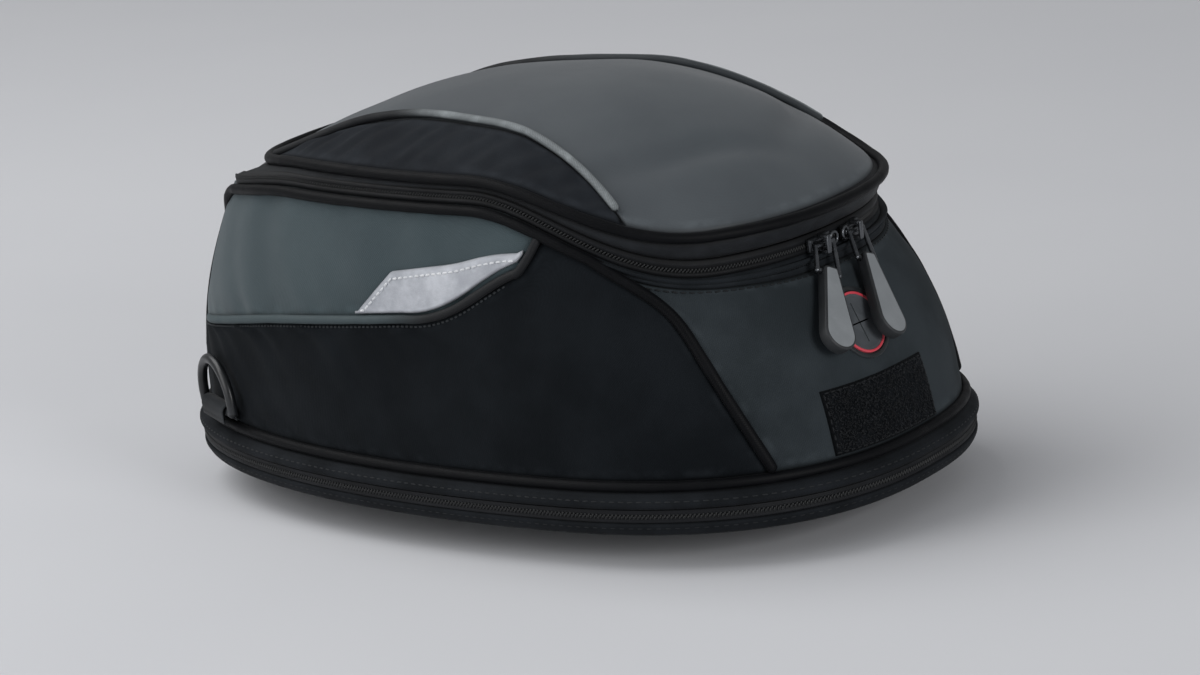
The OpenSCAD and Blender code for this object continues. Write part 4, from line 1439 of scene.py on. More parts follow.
    def mount(self) -> None:
        """Finishes of the ring mount's own solids."""
        for node, finish in (("base_board", Finish.BOARD), ("ring_adapter", Finish.ADAPTER),
                             ("ring_screws", Finish.STEEL), ("backing_plate", Finish.PLATE),
                             ("ring_nuts", Finish.STEEL), ("latch_slide", Finish.LATCH)):
            redress(node, finish)


@dataclass
class Shell:
    """Sewn walls: band, panels, yokes, patches, pipings, facing and the lower zip tape."""

    gap: float = 0.15
    cord_r: float = 2.0
    thin_r: float = 1.6
    cord_sunk: float = 1.3
    cord_end: float = 159.2
    foot_s: float = -0.02
    top_s: float = 0.985
    yoke_from: float = 85.1
    patch_from: float = 88.7
    patch_l: float = 22.7
    patch_off: float = 1.9
    hook_low: float = 0.006
    hook_h: float = 23.0
    hook_y: tuple[float, float] = (-46.0, 10.0)
    hook_off: float = 1.3
    hook_count: int = 2600
    band_section: Section = ((-0.7, 22.75), (0.6, 23.3), (1.05, 24.6), (0.55, 26.1), (-1.1, 27.5),
                             (-3.1, 28.2), (-5.6, 28.2), (-4.0, 25.8), (-3.0, 22.8))

    def build(self) -> None:
        """Builds and dresses the shell."""
        self.band()
        self.front()
        self.rear()
        self.facing()
        for side in Side:
            self.side_panel(side)
            self.yoke(side)
            self.pocket_cord(side)
            self.patch(side)
            self.seam_cord(side)
        zip_tape("zip_welt_low", "zip_teeth_low", -2.9, -0.35, -1, "shell", "zip_tape_lower")
        self.hook()

    def band(self) -> None:
        """Rounded band over the expansion zip, its stitches and the cord above it."""
        band = hoop("upper_band_cloth", FORM.rim, self.band_section)
        dress(band, Finish.BAND, "shell", "rim_cloth", "upper_band")
        path, outs = FORM.rim.line(turns(RIM_STEPS), -3.5, 30.1)
        dress(cord("band_cord", path, outs, self.cord_r, True), Finish.DARK_CORD, "shell", "dark_piping",
              "band_piping")
        rim_stitches("band_stitching", 0.65, 25.7, 0.5, "shell")

    def front(self) -> None:
        """Front panel between the two side panels."""
        t = FRONT_SEAM + self.gap + 2 * (180 - FRONT_SEAM - self.gap) * spread(46, 110)
        s = self.foot_s + 1.01 * spread(30, 88)

        def folds(on: Surface) -> Array:
            """Soft upright folds near the top and the foot."""
            ends = np.exp(-(on.v.max() - on.v) / 16) + np.exp(-on.v / 14)
            return 0.5 * gathers(on.u + 0.2 * on.v, 16, 31) * ends + 0.4 * np.sin(on.v / 28)

        panel = Panel("front_panel_cloth", FORM.wall(t[:, None], s[None, :]), relief=folds)
        dress(panel.build(), Finish.SHELL, "shell", "shell_cloth", "front_panel", fill=0.4)

    def rear_angle(self, u: Array, s: Array) -> Array:
        """Plan angle on the rear wall at shares of the way to its corners and height shares."""
        return u[:, None] * (FORM.rear_seam(np.clip(s, 0, 1)) - self.gap)

    def rear(self) -> None:
        """Rear panel with a flat seat and a hole for the cable port."""
        u = 2 * spread(90, 185) - 1
        s = self.foot_s + (FORM.facing_low(u)[:, None] + 0.019) * spread(46, 62)
        port = CablePort()
        place = port.place
        spot, way = np.array(place.translation), np.array(place.to_3x3().col[0])

        def folds(on: Surface) -> Array:
            """Slack near the corners, and a flat seat round the port.

            Args:
                on: The panel's grid.

            Returns:
                Lift in mm.
            """
            u, v = on.u, on.v
            arm = on.points - spot
            deep = arm @ way
            seat = 1 - smooth(13.8, 20.0, np.linalg.norm(arm - deep[..., None] * way, axis=-1))
            side = np.minimum(u - u[:1], u[-1:] - u)
            slack = 0.7 * gathers(v * 0.9 + 0.5 * side, 22, 5) * np.exp(-side / 17)
            top = 0.35 * gathers(u, 19, 8) * np.exp(-(v.max() - v) / 10)
            return (slack + top + 0.5 * np.sin(v / 21)) * (1 - seat) + (-deep - 0.25) * seat

        grid = FORM.wall(self.rear_angle(u, s), s)
        obj = Panel("rear_panel_cloth", grid, roll=0.7, roll_w=2.4, relief=folds).build()
        deselect()
        bpy.ops.mesh.primitive_cylinder_add(vertices=64, radius=port.hole * MM, depth=30 * MM)
        tool = active()
        tool.matrix_world = (Matrix.Translation(place.translation * MM) @ place.to_3x3().to_4x4()
                             @ Matrix.Rotation(math.pi / 2, 4, "Y"))
        cut(obj, tool)
        dress(obj, Finish.REAR, "shell", "rear_cloth", "rear_panel", fill=0.5)

    def facing(self) -> None:
        """Facing under the zip with its seam stitches."""
        u = 2 * spread(90, 185) - 1
        low = FORM.facing_low(u)[:, None] + 0.003
        s = low + (1.01 - low) * spread(4, 6, (0.0, 0.4, 1.0))
        panel = Panel("zip_facing_cloth", FORM.wall(self.rear_angle(u, s), s, 0.25), 2.4, 0.5, 1.3)
        dress(panel.build(), Finish.FACING, "shell", "rear_cloth", "zip_facing")
        line = FORM.facing_low(u) - 0.02
        path, outs = FORM.wall_line(u * (FORM.rear_seam(line) - 1.2), line, 0.05)
        obj = stitches("facing_stitching", path, outs, length=2.1, gap=3.0, radius=0.3)
        dress(obj, Finish.THREAD, "shell", "rear_cloth")

    def side_angle(self, u: Array, s: Array) -> Array:
        """Plan angle on a side panel at a share of its length and a height share."""
        start = FORM.rear_seam(s) + self.gap
        return start + (FRONT_SEAM - self.gap - start) * u

    def side_panel(self, side: Side) -> None:
        """Long side panel from the rear corner to the front seam, under the yoke.

        Args:
            side: Side of the bag.
        """
        u = spread(104, 250)
        low, top = np.zeros(len(u)), np.ones(len(u))
        for _ in range(40):
            mid = (low + top) / 2
            over = mid > FORM.yoke_edge(self.side_angle(u, mid)) - 0.002
            low, top = np.where(over, low, mid), np.where(over, mid, top)
        s = self.foot_s + (top[:, None] - self.foot_s) * spread(40, 70)
        t = self.side_angle(u[:, None], s)

        def folds(on: Surface) -> Array:
            """Upright slack folds at the pocket edge and along the foot.

            Args:
                on: The panel's grid.

            Returns:
                Lift in mm.
            """
            u, v = on.u, on.v
            down = v[:, -1:] - v
            pull = np.exp(-down / 15) * gathers(u + 0.25 * v, 15, 11) * smooth(93, 102, t)
            foot = np.exp(-v / 12) * 0.6 * gathers(u - 0.2 * v, 19, 12)
            return pull + foot + 0.5 * gathers(u * 0.6 + v * 0.3, 46, 13) * smooth(0, 14, down)

        panel = Panel(f"side_panel_cloth_{side.word}", mirrored(FORM.wall(t, s), side), relief=folds)
        dress(panel.build(), Finish.SHELL, "shell", "shell_cloth", f"side_panel_{side.word}", fill=0.45)

    def yoke(self, side: Side) -> None:
        """Upper side panel over the pocket edge.

        Args:
            side: Side of the bag.
        """
        t = (self.yoke_from + (FRONT_SEAM - self.gap - self.yoke_from) * spread(80, 150))[:, None]
        low = np.minimum(0.992, FORM.yoke_edge(t) + 0.002)
        grid = mirrored(FORM.wall(t, low + (1.001 - low) * spread(26, 38)), side)

        def swell(on: Surface) -> Array:
            """Broad soft waves of the padded yoke, and gathers at the pocket edge."""
            low = 0.55 * np.exp(-on.v / 9) * gathers(on.u, 17, 22)
            return 0.7 * smooth(0, 12, on.rim) + 0.55 * gathers(on.u + 0.15 * on.v, 33, 21) + low

        panel = Panel(f"side_yoke_cloth_{side.word}", grid, 2.8, 1.5, 4.2, (True, True, True, False),
                      relief=swell)
        dress(panel.build(), Finish.YOKE, "shell", "yoke_cloth", f"side_yoke_{side.word}", fill=0.6)

    def pocket_cord(self, side: Side) -> None:
        """Cord along the pocket edge, with cross stitches under it.

        Args:
            side: Side of the bag.
        """
        kink = FORM.pocket_kink
        t = np.concatenate([np.linspace(85.5, kink, 54), np.linspace(kink + 0.6, 159.4, 70)])
        path, outs = FORM.wall_line(t, FORM.yoke_edge(t), 0.9 - 2.6 * smooth(148, 159, t), side)
        obj = cord(f"pocket_cord_{side.word}", path, outs, self.thin_r, seed=3)
        dress(obj, Finish.POCKET_CORD, "shell", "light_piping", f"pocket_piping_{side.word}")
        t = np.linspace(91, 157, 140)
        path, outs = FORM.wall_line(t, FORM.yoke_edge(t) - 0.03, 0.1, side)
        obj = stitches(f"pocket_stitching_{side.word}", path, outs, length=1.3, gap=2.1, radius=0.42)
        dress(obj, Finish.SEAM_THREAD, "shell", "shell_cloth")

    def patch_edges(self, t: Array) -> tuple[Array, Array]:
        """Lower and upper edges of the reflective patch.

        Args:
            t: Plan angles in degrees from the rear.

        Returns:
            Height shares of both edges.
        """
        low = FORM.yoke_edge(t) + 0.025 + 0.016 * smooth(104, 90, t)
        nose = 0.566 + 0.0302 * (self.patch_from + self.patch_l - t)
        top = 0.746 + 0.0052 * (105.5 - t) + 0.0008 * np.maximum(0, 98 - t) ** 2
        return low, np.maximum(low + 0.01, np.minimum(nose, top))

    def patch(self, side: Side) -> None:
        """Reflective patch on the yoke and its white edge stitches.

        Args:
            side: Side of the bag.
        """
        t = self.patch_from + self.patch_l * spread(44, 38)
        low, high = self.patch_edges(t)
        s = low[:, None] + (high - low)[:, None] * spread(12, 14, (0.0, 0.25, 0.6, 1.1))
        grid = mirrored(FORM.wall(t[:, None], s, self.patch_off), side)
        panel = Panel(f"reflective_patch_film_{side.word}", grid, 1.3, 0.6, 1.0,
                      relief=lambda on: 0.25 * gathers(on.u + on.v, 14, 41))
        dress(panel.build(), Finish.PATCH, "shell", "reflective", f"reflective_patch_{side.word}")
        t = np.linspace(90, 110.4, 80)
        low, high = self.patch_edges(t)
        path, outs = FORM.wall_line(t, np.maximum(low + 0.012, high - 0.03), self.patch_off + 0.1, side)
        obj = stitches(f"patch_stitching_{side.word}", path, outs, length=1.9, gap=2.5, radius=0.44)
        dress(obj, Finish.PALE_THREAD, "shell", "reflective")

    def seam_cord(self, side: Side) -> None:
        """Thick cord up the rear corner and along under the zip.

        Args:
            side: Side of the bag.
        """
        up = np.linspace(0.02, self.top_s, 70)
        t = FORM.rear_seam(up)
        more = np.linspace(t[-1], self.cord_end, 76)[1:]
        t = np.concatenate([t, more])
        s = np.concatenate([up, self.top_s - 0.13 * smooth(148, 160, more) ** 1.5])
        sunk = self.cord_sunk - 3.2 * smooth(152.5, self.cord_end, t)
        path, outs = FORM.wall_line(t, s, sunk, side)
        obj = cord(f"seam_cord_{side.word}", path, outs, self.cord_r, seed=5)
        dress(obj, Finish.DARK_CORD, "shell", "dark_piping", f"seam_piping_{side.word}")

    def hook(self) -> None:
        """Hook tape patch with its loops and edge stitches, under the cable port."""
        low, tall = self.hook_low, self.hook_h / FORM.rear_h
        t0, t1 = (self.wall_angle(y, low + tall / 2) for y in self.hook_y)
        t, s = t0 + (t1 - t0) * spread(30, 56), low + tall * spread(12, 23)
        grid = FORM.wall(t[:, None], s[None, :], self.hook_off)
        panel = Panel("hook_tape_base", grid, 1.2, 0.5, 0.9)
        dress(panel.build(), Finish.HOOK, "shell", "hook", "hook_patch")
        rng = np.random.default_rng(77)
        count = self.hook_count
        spot_t = t0 + (t1 - t0) * rng.uniform(0.025, 0.975, count)
        spot_s = low + tall * rng.uniform(0.04, 0.96, count)
        spots, outs = FORM.wall_line(spot_t, spot_s, self.hook_off - 0.1)
        spin = rng.normal(size=(count, 3))
        lean = outs + 0.45 * rng.normal(size=(count, 3))
        spin = spin - outs * np.sum(spin * outs, -1, keepdims=True)
        obj = scatter("hook_tape_loops", self.loop_shape(), spots, spin, lean, rng.uniform(0.55, 1.0, count))
        dress(obj, Finish.LOOPS, "shell", "hook")
        t0, t1, low, high = t0 + 0.6, t1 - 0.6, low + 0.015, low + tall - 0.015
        edge_t = np.concatenate([np.linspace(t0, t1, 60), np.full(20, t1), np.linspace(t1, t0, 60),
                                 np.full(20, t0)])
        edge_s = np.concatenate([np.full(60, high), np.linspace(high, low, 20), np.full(60, low),
                                 np.linspace(low, high, 20)])
        path, outs = FORM.wall_line(edge_t, edge_s, self.hook_off + 0.1)
        obj = stitches("hook_tape_stitching", path, outs, True, 2.0, 2.9, 0.3)
        dress(obj, Finish.THREAD, "shell", "hook")

    def wall_angle(self, y: float, s: float) -> float:
        """Plan angle of a point on the rear wall.

        Args:
            y: Sideways place in mm.
            s: Share of the wall height.

        Returns:
            Angle in degrees.
        """
        low, high = -89.0, 89.0
        for _ in range(40):
            mid = (low + high) / 2
            low, high = (mid, high) if FORM.wall(mid, s)[1] < y else (low, mid)
        return low

    def loop_shape(self) -> Shape:
        """One bent hook fibre as a three-sided arch."""
        sides, thin = 3, 0.11
        stops = [(-0.5, -0.1), (-0.42, 0.65), (0.0, 1.05), (0.42, 0.8), (0.5, 0.35)]
        ring = [(math.cos(a), math.sin(a)) for a in (2 * math.pi * k / sides for k in range(sides))]
        points = [(x + 0.1 * c * x, thin * c, z + thin * s) for x, z in stops for c, s in ring]
        faces = [(f[0], *f[:0:-1]) for f in tube_faces(len(stops), sides)]
        faces += [(0, 1, 2), (14, 13, 12)]
        return np.array(points), faces


@dataclass
class CablePort:
    """Round cable port on the rear wall: flange, red ring and slit membrane."""

    level: float = 73.0
    aside: float = -16.0
    hole: float = 10.4
    bevel: float = 0.3
    skin_t: float = 0.7
    slits: tuple[Place, ...] = ((15.0, 0.55, 6.0), (0.55, 10.6, 6.0))

    @property
    def place(self) -> Matrix:
        """Frame of the port in mm, x outwards."""
        share = (self.level - FORM.foot_z) / FORM.rear_h
        return FORM.wall_frame(Shell().wall_angle(self.aside, share), share, CLEAR)

    def build(self) -> None:
        """Builds and dresses the port."""
        place = self.place @ Matrix.Rotation(math.pi / 2, 4, "Y")
        for name, finish, slot, node, outer, inner, height, sunk in (
                ("port_flange_rubber", Finish.PORT, "port_rubber", "port_flange", 13.6, 11.9, 0.95, 0.15),
                ("port_red_trim", Finish.PORT_RED, "port_red", "port_ring", 11.55, 10.6, 1.2, 0.2)):
            ring = flat_ring(outer, inner, height, self.bevel)
            dress(settle(ring, name, place @ Matrix.Translation((0, 0, -sunk))), finish, "shell", slot, node)
        self.membrane(place)

    def membrane(self, place: Matrix) -> None:
        """Membrane, slightly dished, with two crossing slits.

        Args:
            place: Frame of the port in mm, z outwards.
        """
        skin = disc(self.hole + 0.15, 72)
        pick(skin)
        for step, drop in ((1.0, -0.25), (2.3, -0.2), (3.1, -0.05)):
            bpy.ops.mesh.inset(thickness=step)
            bpy.ops.transform.translate(value=(0, 0, drop))
        pick(skin)
        extrude_up(self.skin_t)
        face_out()
        leave()
        for size in self.slits:
            cut(skin, block(size, (0, 0, 0), 0.2, 2))
        obj = settle(skin, "port_membrane_rubber", place, 30)
        dress(obj, Finish.MEMBRANE, "shell", "port_rubber", "port_membrane")


@dataclass
class DRings:
    """D-rings at the front corners on their webbing tabs."""

    angle: float = 145.0
    share: float = 0.05
    wire: float = 3.6
    arch: float = 14.8
    leg: float = 3.5
    tab_w: float = 23.0
    tab_t: float = 6.2
    drop: float = 4.0
    straight: float = 2.5

    def build(self) -> None:
        """Builds both rings and tabs."""
        for side in Side:
            self.ring(side)
            self.tab(side)

    def place(self, side: Side) -> Matrix:
        """Frame of a ring in mm: x outwards, y along its bar and z up."""
        base = FORM.wall_frame(self.angle, self.share, self.tab_t / 2 + CLEAR)
        return base if side is Side.RIGHT else Matrix.Diagonal((1, -1, 1, 1)) @ base

    def ring(self, side: Side) -> None:
        """Moulded D-ring: half a torus drawn out into legs, with a straight bar.

        Args:
            side: Side of the bag.
        """
        deselect()
        bpy.ops.mesh.primitive_torus_add(major_segments=72, minor_segments=20, major_radius=self.arch,
                                         minor_radius=self.wire / 2)
        obj = active()
        edit()
        bpy.ops.mesh.select_all(action="SELECT")
        bpy.ops.mesh.bisect(plane_co=(0, 0, 0), plane_no=(1, 0, 0), clear_inner=True)
        pick_open_edges()
        bpy.ops.mesh.extrude_edges_move(TRANSFORM_OT_translate={"value": (-self.leg, 0, 0)})
        bpy.ops.mesh.edge_face_add()
        leave()
        for vert in obj.data.vertices:
            x, y, z = vert.co
            reach = math.hypot(max(0.0, x), y) - self.arch
            if x > -self.leg / 2:
                widen = 1 + 0.22 * max(0.0, reach) / (self.wire / 2)
                scale = (self.arch + reach * widen) / (self.arch + reach)
                vert.co = (x * scale if x > 0 else x, y * scale, z * 1.05)
        bar = rod(self.wire / 2, 2 * self.arch + 1.2, (-self.leg, 0, 0), (math.pi / 2, 0, 0), 0.6)
        upright = Matrix(((0, 0, 1, 0), (0, 1, 0, 0), (1, 0, 0, self.leg), (0, 0, 0, 1)))
        obj = settle(join([obj, bar]), f"d_ring_moulding_{side.word}", self.place(side) @ upright)
        grab(obj)
        edit()
        face_out()
        leave()
        deselect()
        dress(obj, Finish.RING, f"ring_{side.word}", "d_ring", f"d_ring_{side.word}")

    def bend(self, r: float) -> list[tuple[float, float]]:
        """Profile of one skin of a tab: up one leg, round the bar and down the other."""
        top = [(r * math.cos(a), r * math.sin(a)) for a in np.linspace(0, math.pi, 21)]
        return [(r, -self.drop), (r, -self.straight), *top, (-r, -self.straight), (-r, -self.drop)]

    def tab(self, side: Side) -> None:
        """Webbing tab folded round the bar and sewn to the wall.

        Args:
            side: Side of the bag.
        """
        outer = self.tab_t / 2
        profile = self.bend(outer)
        loop = np.array(profile + self.bend(self.wire / 2 + 0.35)[::-1])
        across = self.tab_w * (spread(16, self.tab_w, (0.0, 0.25, 0.6, 1.0)) - 0.5)
        near = np.minimum(across + self.tab_w / 2, self.tab_w / 2 - across)
        thin = 0.5 * np.clip(1 - near / 0.8, 0, 1) ** 2
        rings = []
        for y, less in zip(across, thin):
            ring = loop.copy()
            ring[:len(profile)] *= 1 - less / outer * 0.5
            rings.append(np.stack([ring[:, 0], np.full(len(ring), y), ring[:, 1]], -1))
        place = np.array(self.place(side))
        obj = loft(f"ring_tab_web_{side.word}", np.array(rings) @ place[:3, :3].T + place[:3, 3], False)
        grab(obj)
        edit()
        pick_open_edges()
        bpy.ops.mesh.fill()
        face_out()
        leave()
        deselect()
        dress(obj, Finish.WEBBING, "shell", "webbing", f"ring_tab_{side.word}")


@dataclass
class Lid:
    """Zipped lid: domed panel, side insets, pipings, gusset, lining, hinge cloth and upper zip tape.

    Each crease is its place in plan, its turn in degrees, its depth, its width and its length.
    """

    inset_rear: float = 66.0
    inset_front: float = 154.5
    cord_r: float = 2.0
    thin_r: float = 1.6
    edge_drop: float = 1.5
    hinge_drop: float = 4.6
    hinge_knee: float = 0.35
    front_dent: float = 1.5
    quilt: float = 34.0
    creases: tuple[tuple[float, ...], ...] = (
        (92, -28, 62, 2.1, 5, 26), (97, 22, 112, 2.0, 5.5, 24), (84, 46, 130, 1.7, 5.5, 22),
        (70, -58, 50, 1.5, 5, 20), (-62, 30, 75, 0.6, 7, 30), (-58, -34, 100, 0.6, 7, 30))

    def build(self) -> None:
        """Builds and dresses the lid."""
        self.panel()
        for side in Side:
            self.inset(side)
            self.inset_cord(side)
        self.edge_cord()
        self.gusset()
        self.binding()
        self.lining()
        self.hinge()
        zip_tape("zip_welt_high", "zip_teeth_high", 0.35, 1.1, 1, "lid", "zip_tape_upper")

    def dent(self, x: Array) -> Array:
        """How far the lid sinks towards the front."""
        return self.front_dent * smooth(-72, -100, x)

    def panel(self) -> None:
        """Domed top panel with soft creases near the rear."""
        t = turns(240, -180)
        whole = (np.abs(t) < 60) | (np.abs(t) > 156)
        edge = np.where(whole, 1.0, np.minimum(1.0, FORM.inset_edge(t))) - 0.004
        r = np.concatenate([[0.012], np.linspace(0.04, 0.93, 40), [0.95, 0.965, 0.978, 0.988, 0.995, 1.0]])

        def uneven(on: Surface) -> Array:
            """A few long soft creases and a gentle unevenness.

            Args:
                on: The panel's grid.

            Returns:
                Lift in mm.
            """
            x, y = on.points[..., 0], on.points[..., 1]
            total = 0.35 * gathers(x * 0.8 + y * 0.25, 58, 61) * smooth(0, 25, on.rim) - self.dent(x)
            for x0, y0, turn, size, wide, long in self.creases:
                c, s = math.cos(math.radians(turn)), math.sin(math.radians(turn))
                p, q = (x - x0) * c + (y - y0) * s, -(x - x0) * s + (y - y0) * c
                total = total - size * np.exp(-(q / wide) ** 2 - (p / long) ** 2)
            return total

        grid = FORM.dome(t[:, None], edge[:, None] * r)
        panel = Panel("lid_panel_cloth", grid, 2.6, 1.4, 4.0, ring=True, pole=True, plan_map=True,
                      relief=uneven, middle=LID_MIDDLE)
        obj = panel.build()
        self.close_pole(obj, len(t), len(r))
        dress(obj, Finish.LID, "lid", "lid_cloth", "lid_panel", fill=0.6)

    def close_pole(self, obj: Piece, cols: int, rows: int) -> None:
        """Closes the small opening at the crest in both skins.

        Args:
            obj: The panel.
            cols: Columns of its grid.
            rows: Rows of its grid.
        """
        grab(obj)
        far = cols * rows
        drop = {tuple(sorted((i * rows, (i + 1) % cols * rows, far + i * rows, far + (i + 1) % cols * rows)))
                for i in range(cols)}
        pick(obj, lambda f: tuple(sorted(f.vertices)) in drop)
        bpy.ops.mesh.delete(type="FACE")
        pick_open_edges()
        bpy.ops.mesh.edge_face_add()
        leave()
        obj.data.polygons.foreach_set("use_smooth", [True] * len(obj.data.polygons))
        deselect()

    def inset(self, side: Side) -> None:
        """Dark side inset gathered into soft folds.

        Args:
            side: Side of the bag.
        """
        t = self.inset_rear + (self.inset_front - self.inset_rear) * spread(130, 150)
        low = np.minimum(0.99, FORM.inset_edge(t) + 0.002)[:, None]
        grid = mirrored(FORM.dome(t[:, None], low + (1.0 - low) * spread(22, 26)), side)

        def folds(on: Surface) -> Array:
            """Slanted folds about 12 mm apart.

            Args:
                on: The panel's grid.

            Returns:
                Lift in mm.
            """
            wave = np.sin(2 * np.pi * (on.u - 0.45 * on.v) / 12.0 + 1.3 * gathers(on.u, 40, 52))
            slack = 0.3 * gathers(on.u + on.v, 25, 53)
            return 0.34 * wave * smooth(0, 7, on.rim) + slack - self.dent(on.points[..., 0])

        panel = Panel(f"lid_inset_cloth_{side.word}", grid, 2.4, 1.2, 3.4, relief=folds, middle=LID_MIDDLE)
        dress(panel.build(), Finish.INSET, "lid", "shell_cloth", f"lid_inset_{side.word}", fill=0.4)

    def inset_cord(self, side: Side) -> None:
        """Cord between the lid panel and an inset, painted pale along its top as a highlight.

        Args:
            side: Side of the bag.
        """
        t = np.linspace(self.inset_rear + 0.6, self.inset_front - 1.2, 110)
        path = FORM.dome(t, np.minimum(0.995, FORM.inset_edge(t)), -1.4 + 1.4 * smooth(132, 148, t))
        outs = unit(np.stack([np.cos(np.radians(t)), np.sin(np.radians(t)), np.full(len(t), 0.8)], -1))
        obj = cord(f"inset_cord_{side.word}", mirrored(path, side), mirrored(outs, side), self.thin_r, seed=7)
        dress(obj, Finish.LIGHT_CORD, "lid", "light_piping", f"inset_piping_{side.word}")

    def edge_cord(self) -> None:
        """Bound cord all round the lid edge."""
        t = turns(260, -180)
        path, outs = FORM.lid.line(t, 0.0, FORM.lid_z(FORM.lid.at(t)[:, 0]))
        dress(cord("lid_edge_cord", path, outs, self.cord_r, True), Finish.DARK_CORD, "lid", "dark_piping",
              "lid_edge_piping")

    def strip(self, t: Array, v: Array, low: Array, lean: Array | float = 0.0) -> Array:
        """Grid from the zip line up to the lid edge.

        Args:
            t: Plan angles in degrees from the rear.
            v: Shares of the way up.
            low: Heights at the zip line in mm.
            lean: How far inside the zip line it starts, in mm.

        Returns:
            Points in mm.
        """
        a, b = FORM.zip_line.at(t, -lean), FORM.lid.at(t)
        high = FORM.lid_z(b[:, 0]) - self.edge_drop
        return raised(a[:, None] + (b - a)[:, None] * v[:, None], low[:, None] + (high - low)[:, None] * v)

    def gusset(self) -> None:
        """Cloth band between the zip and the lid edge."""
        t = np.linspace(-TAPE_END, TAPE_END, 300)
        x = FORM.zip_line.at(t)[:, 0]
        grid = self.strip(t, np.linspace(0, 1, 9), FORM.tape_seam(x), FORM.lean(x))
        panel = Panel("lid_gusset_cloth", grid, 1.5, 1.2, 2.8, (False, False, True, True),
                      relief=lambda on: 0.12 * gathers(on.u, 21, 71))
        dress(panel.build(), Finish.GUSSET, "lid", "rear_cloth", "lid_gusset")

    def binding(self) -> None:
        """Seam binding inside the lid, from its edge cord to the lining."""
        t = turns(200, -180)
        inner = FORM.dome(t, 0.93, 3.2)
        plan = FORM.lid.at(t, -0.4)
        edge = raised(plan, FORM.lid_z(plan[:, 0]) - 0.8)
        grid = inner[:, None] + (edge - inner)[:, None] * np.linspace(0, 1, 6)[:, None]
        panel = Panel("lid_seam_binding", grid, 0.8, 0.0, ring=True, middle=LID_MIDDLE)
        dress(panel.build(), Finish.TAPE, "lid", "rear_cloth")

    def lining(self) -> None:
        """Quilted lining pad under the lid."""
        t = turns(160, -180)
        r = np.concatenate([[0.012], np.linspace(0.05, 0.86, 40), [0.875, 0.885, 0.893, 0.9]])
        panel = Panel("lid_lining_pad", FORM.dome(t[:, None], r, 4.6), 2.4, 0.9, 3.0, ring=True, pole=True,
                      plan_map=True, middle=LID_MIDDLE)
        obj = panel.build()
        inner_skin = obj.data.vertices[len(t) * len(r):]
        for vert in inner_skin:
            x, y = vert.co.x / MM, vert.co.y / MM
            p, q = math.pi * (x + y) / self.quilt, math.pi * (x - y) / self.quilt
            puff = abs(math.sin(p)) * abs(math.sin(q))
            vert.co.z -= 1.1 * puff ** 0.6 * MM
        self.close_pole(obj, len(t), len(r))
        dress(obj, Finish.LINING, "lid", "foam", "lid_foam", fill=0.5)

    def hinge(self) -> None:
        """Cloth hinge at the front, which bends between the shell and the lid."""
        t = np.linspace(TAPE_END + 0.2, 360 - TAPE_END - 0.2, 70)
        v = np.linspace(0, 1, 15)
        x = FORM.zip_line.at(t)[:, 0]
        grid = self.strip(t, v, FORM.zip_z(x) - self.hinge_drop)
        knee = raised(FORM.zip_line.at(t, -FORM.lean(x)), FORM.tape_seam(x))[:, None]
        below = np.clip(v / self.hinge_knee, 0, 1)[:, None]
        above = np.clip((v - self.hinge_knee) / (1 - self.hinge_knee), 0, 1)[:, None]
        bent = grid[:, :1] + (knee - grid[:, :1]) * below + (grid[:, -1:] - knee) * above
        near_end = smooth(24, 28, np.abs(t - 180))[:, None, None]
        panel = Panel("lid_hinge_cloth", grid * (1 - near_end) + bent * near_end, 1.5, 0.0,
                      relief=lambda on: 0.2 * gathers(on.u, 18, 81) * smooth(0, 3, on.rim))
        obj = dress(panel.build(), Finish.GUSSET, None, "rear_cloth", "lid_hinge_strip")
        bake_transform(obj)


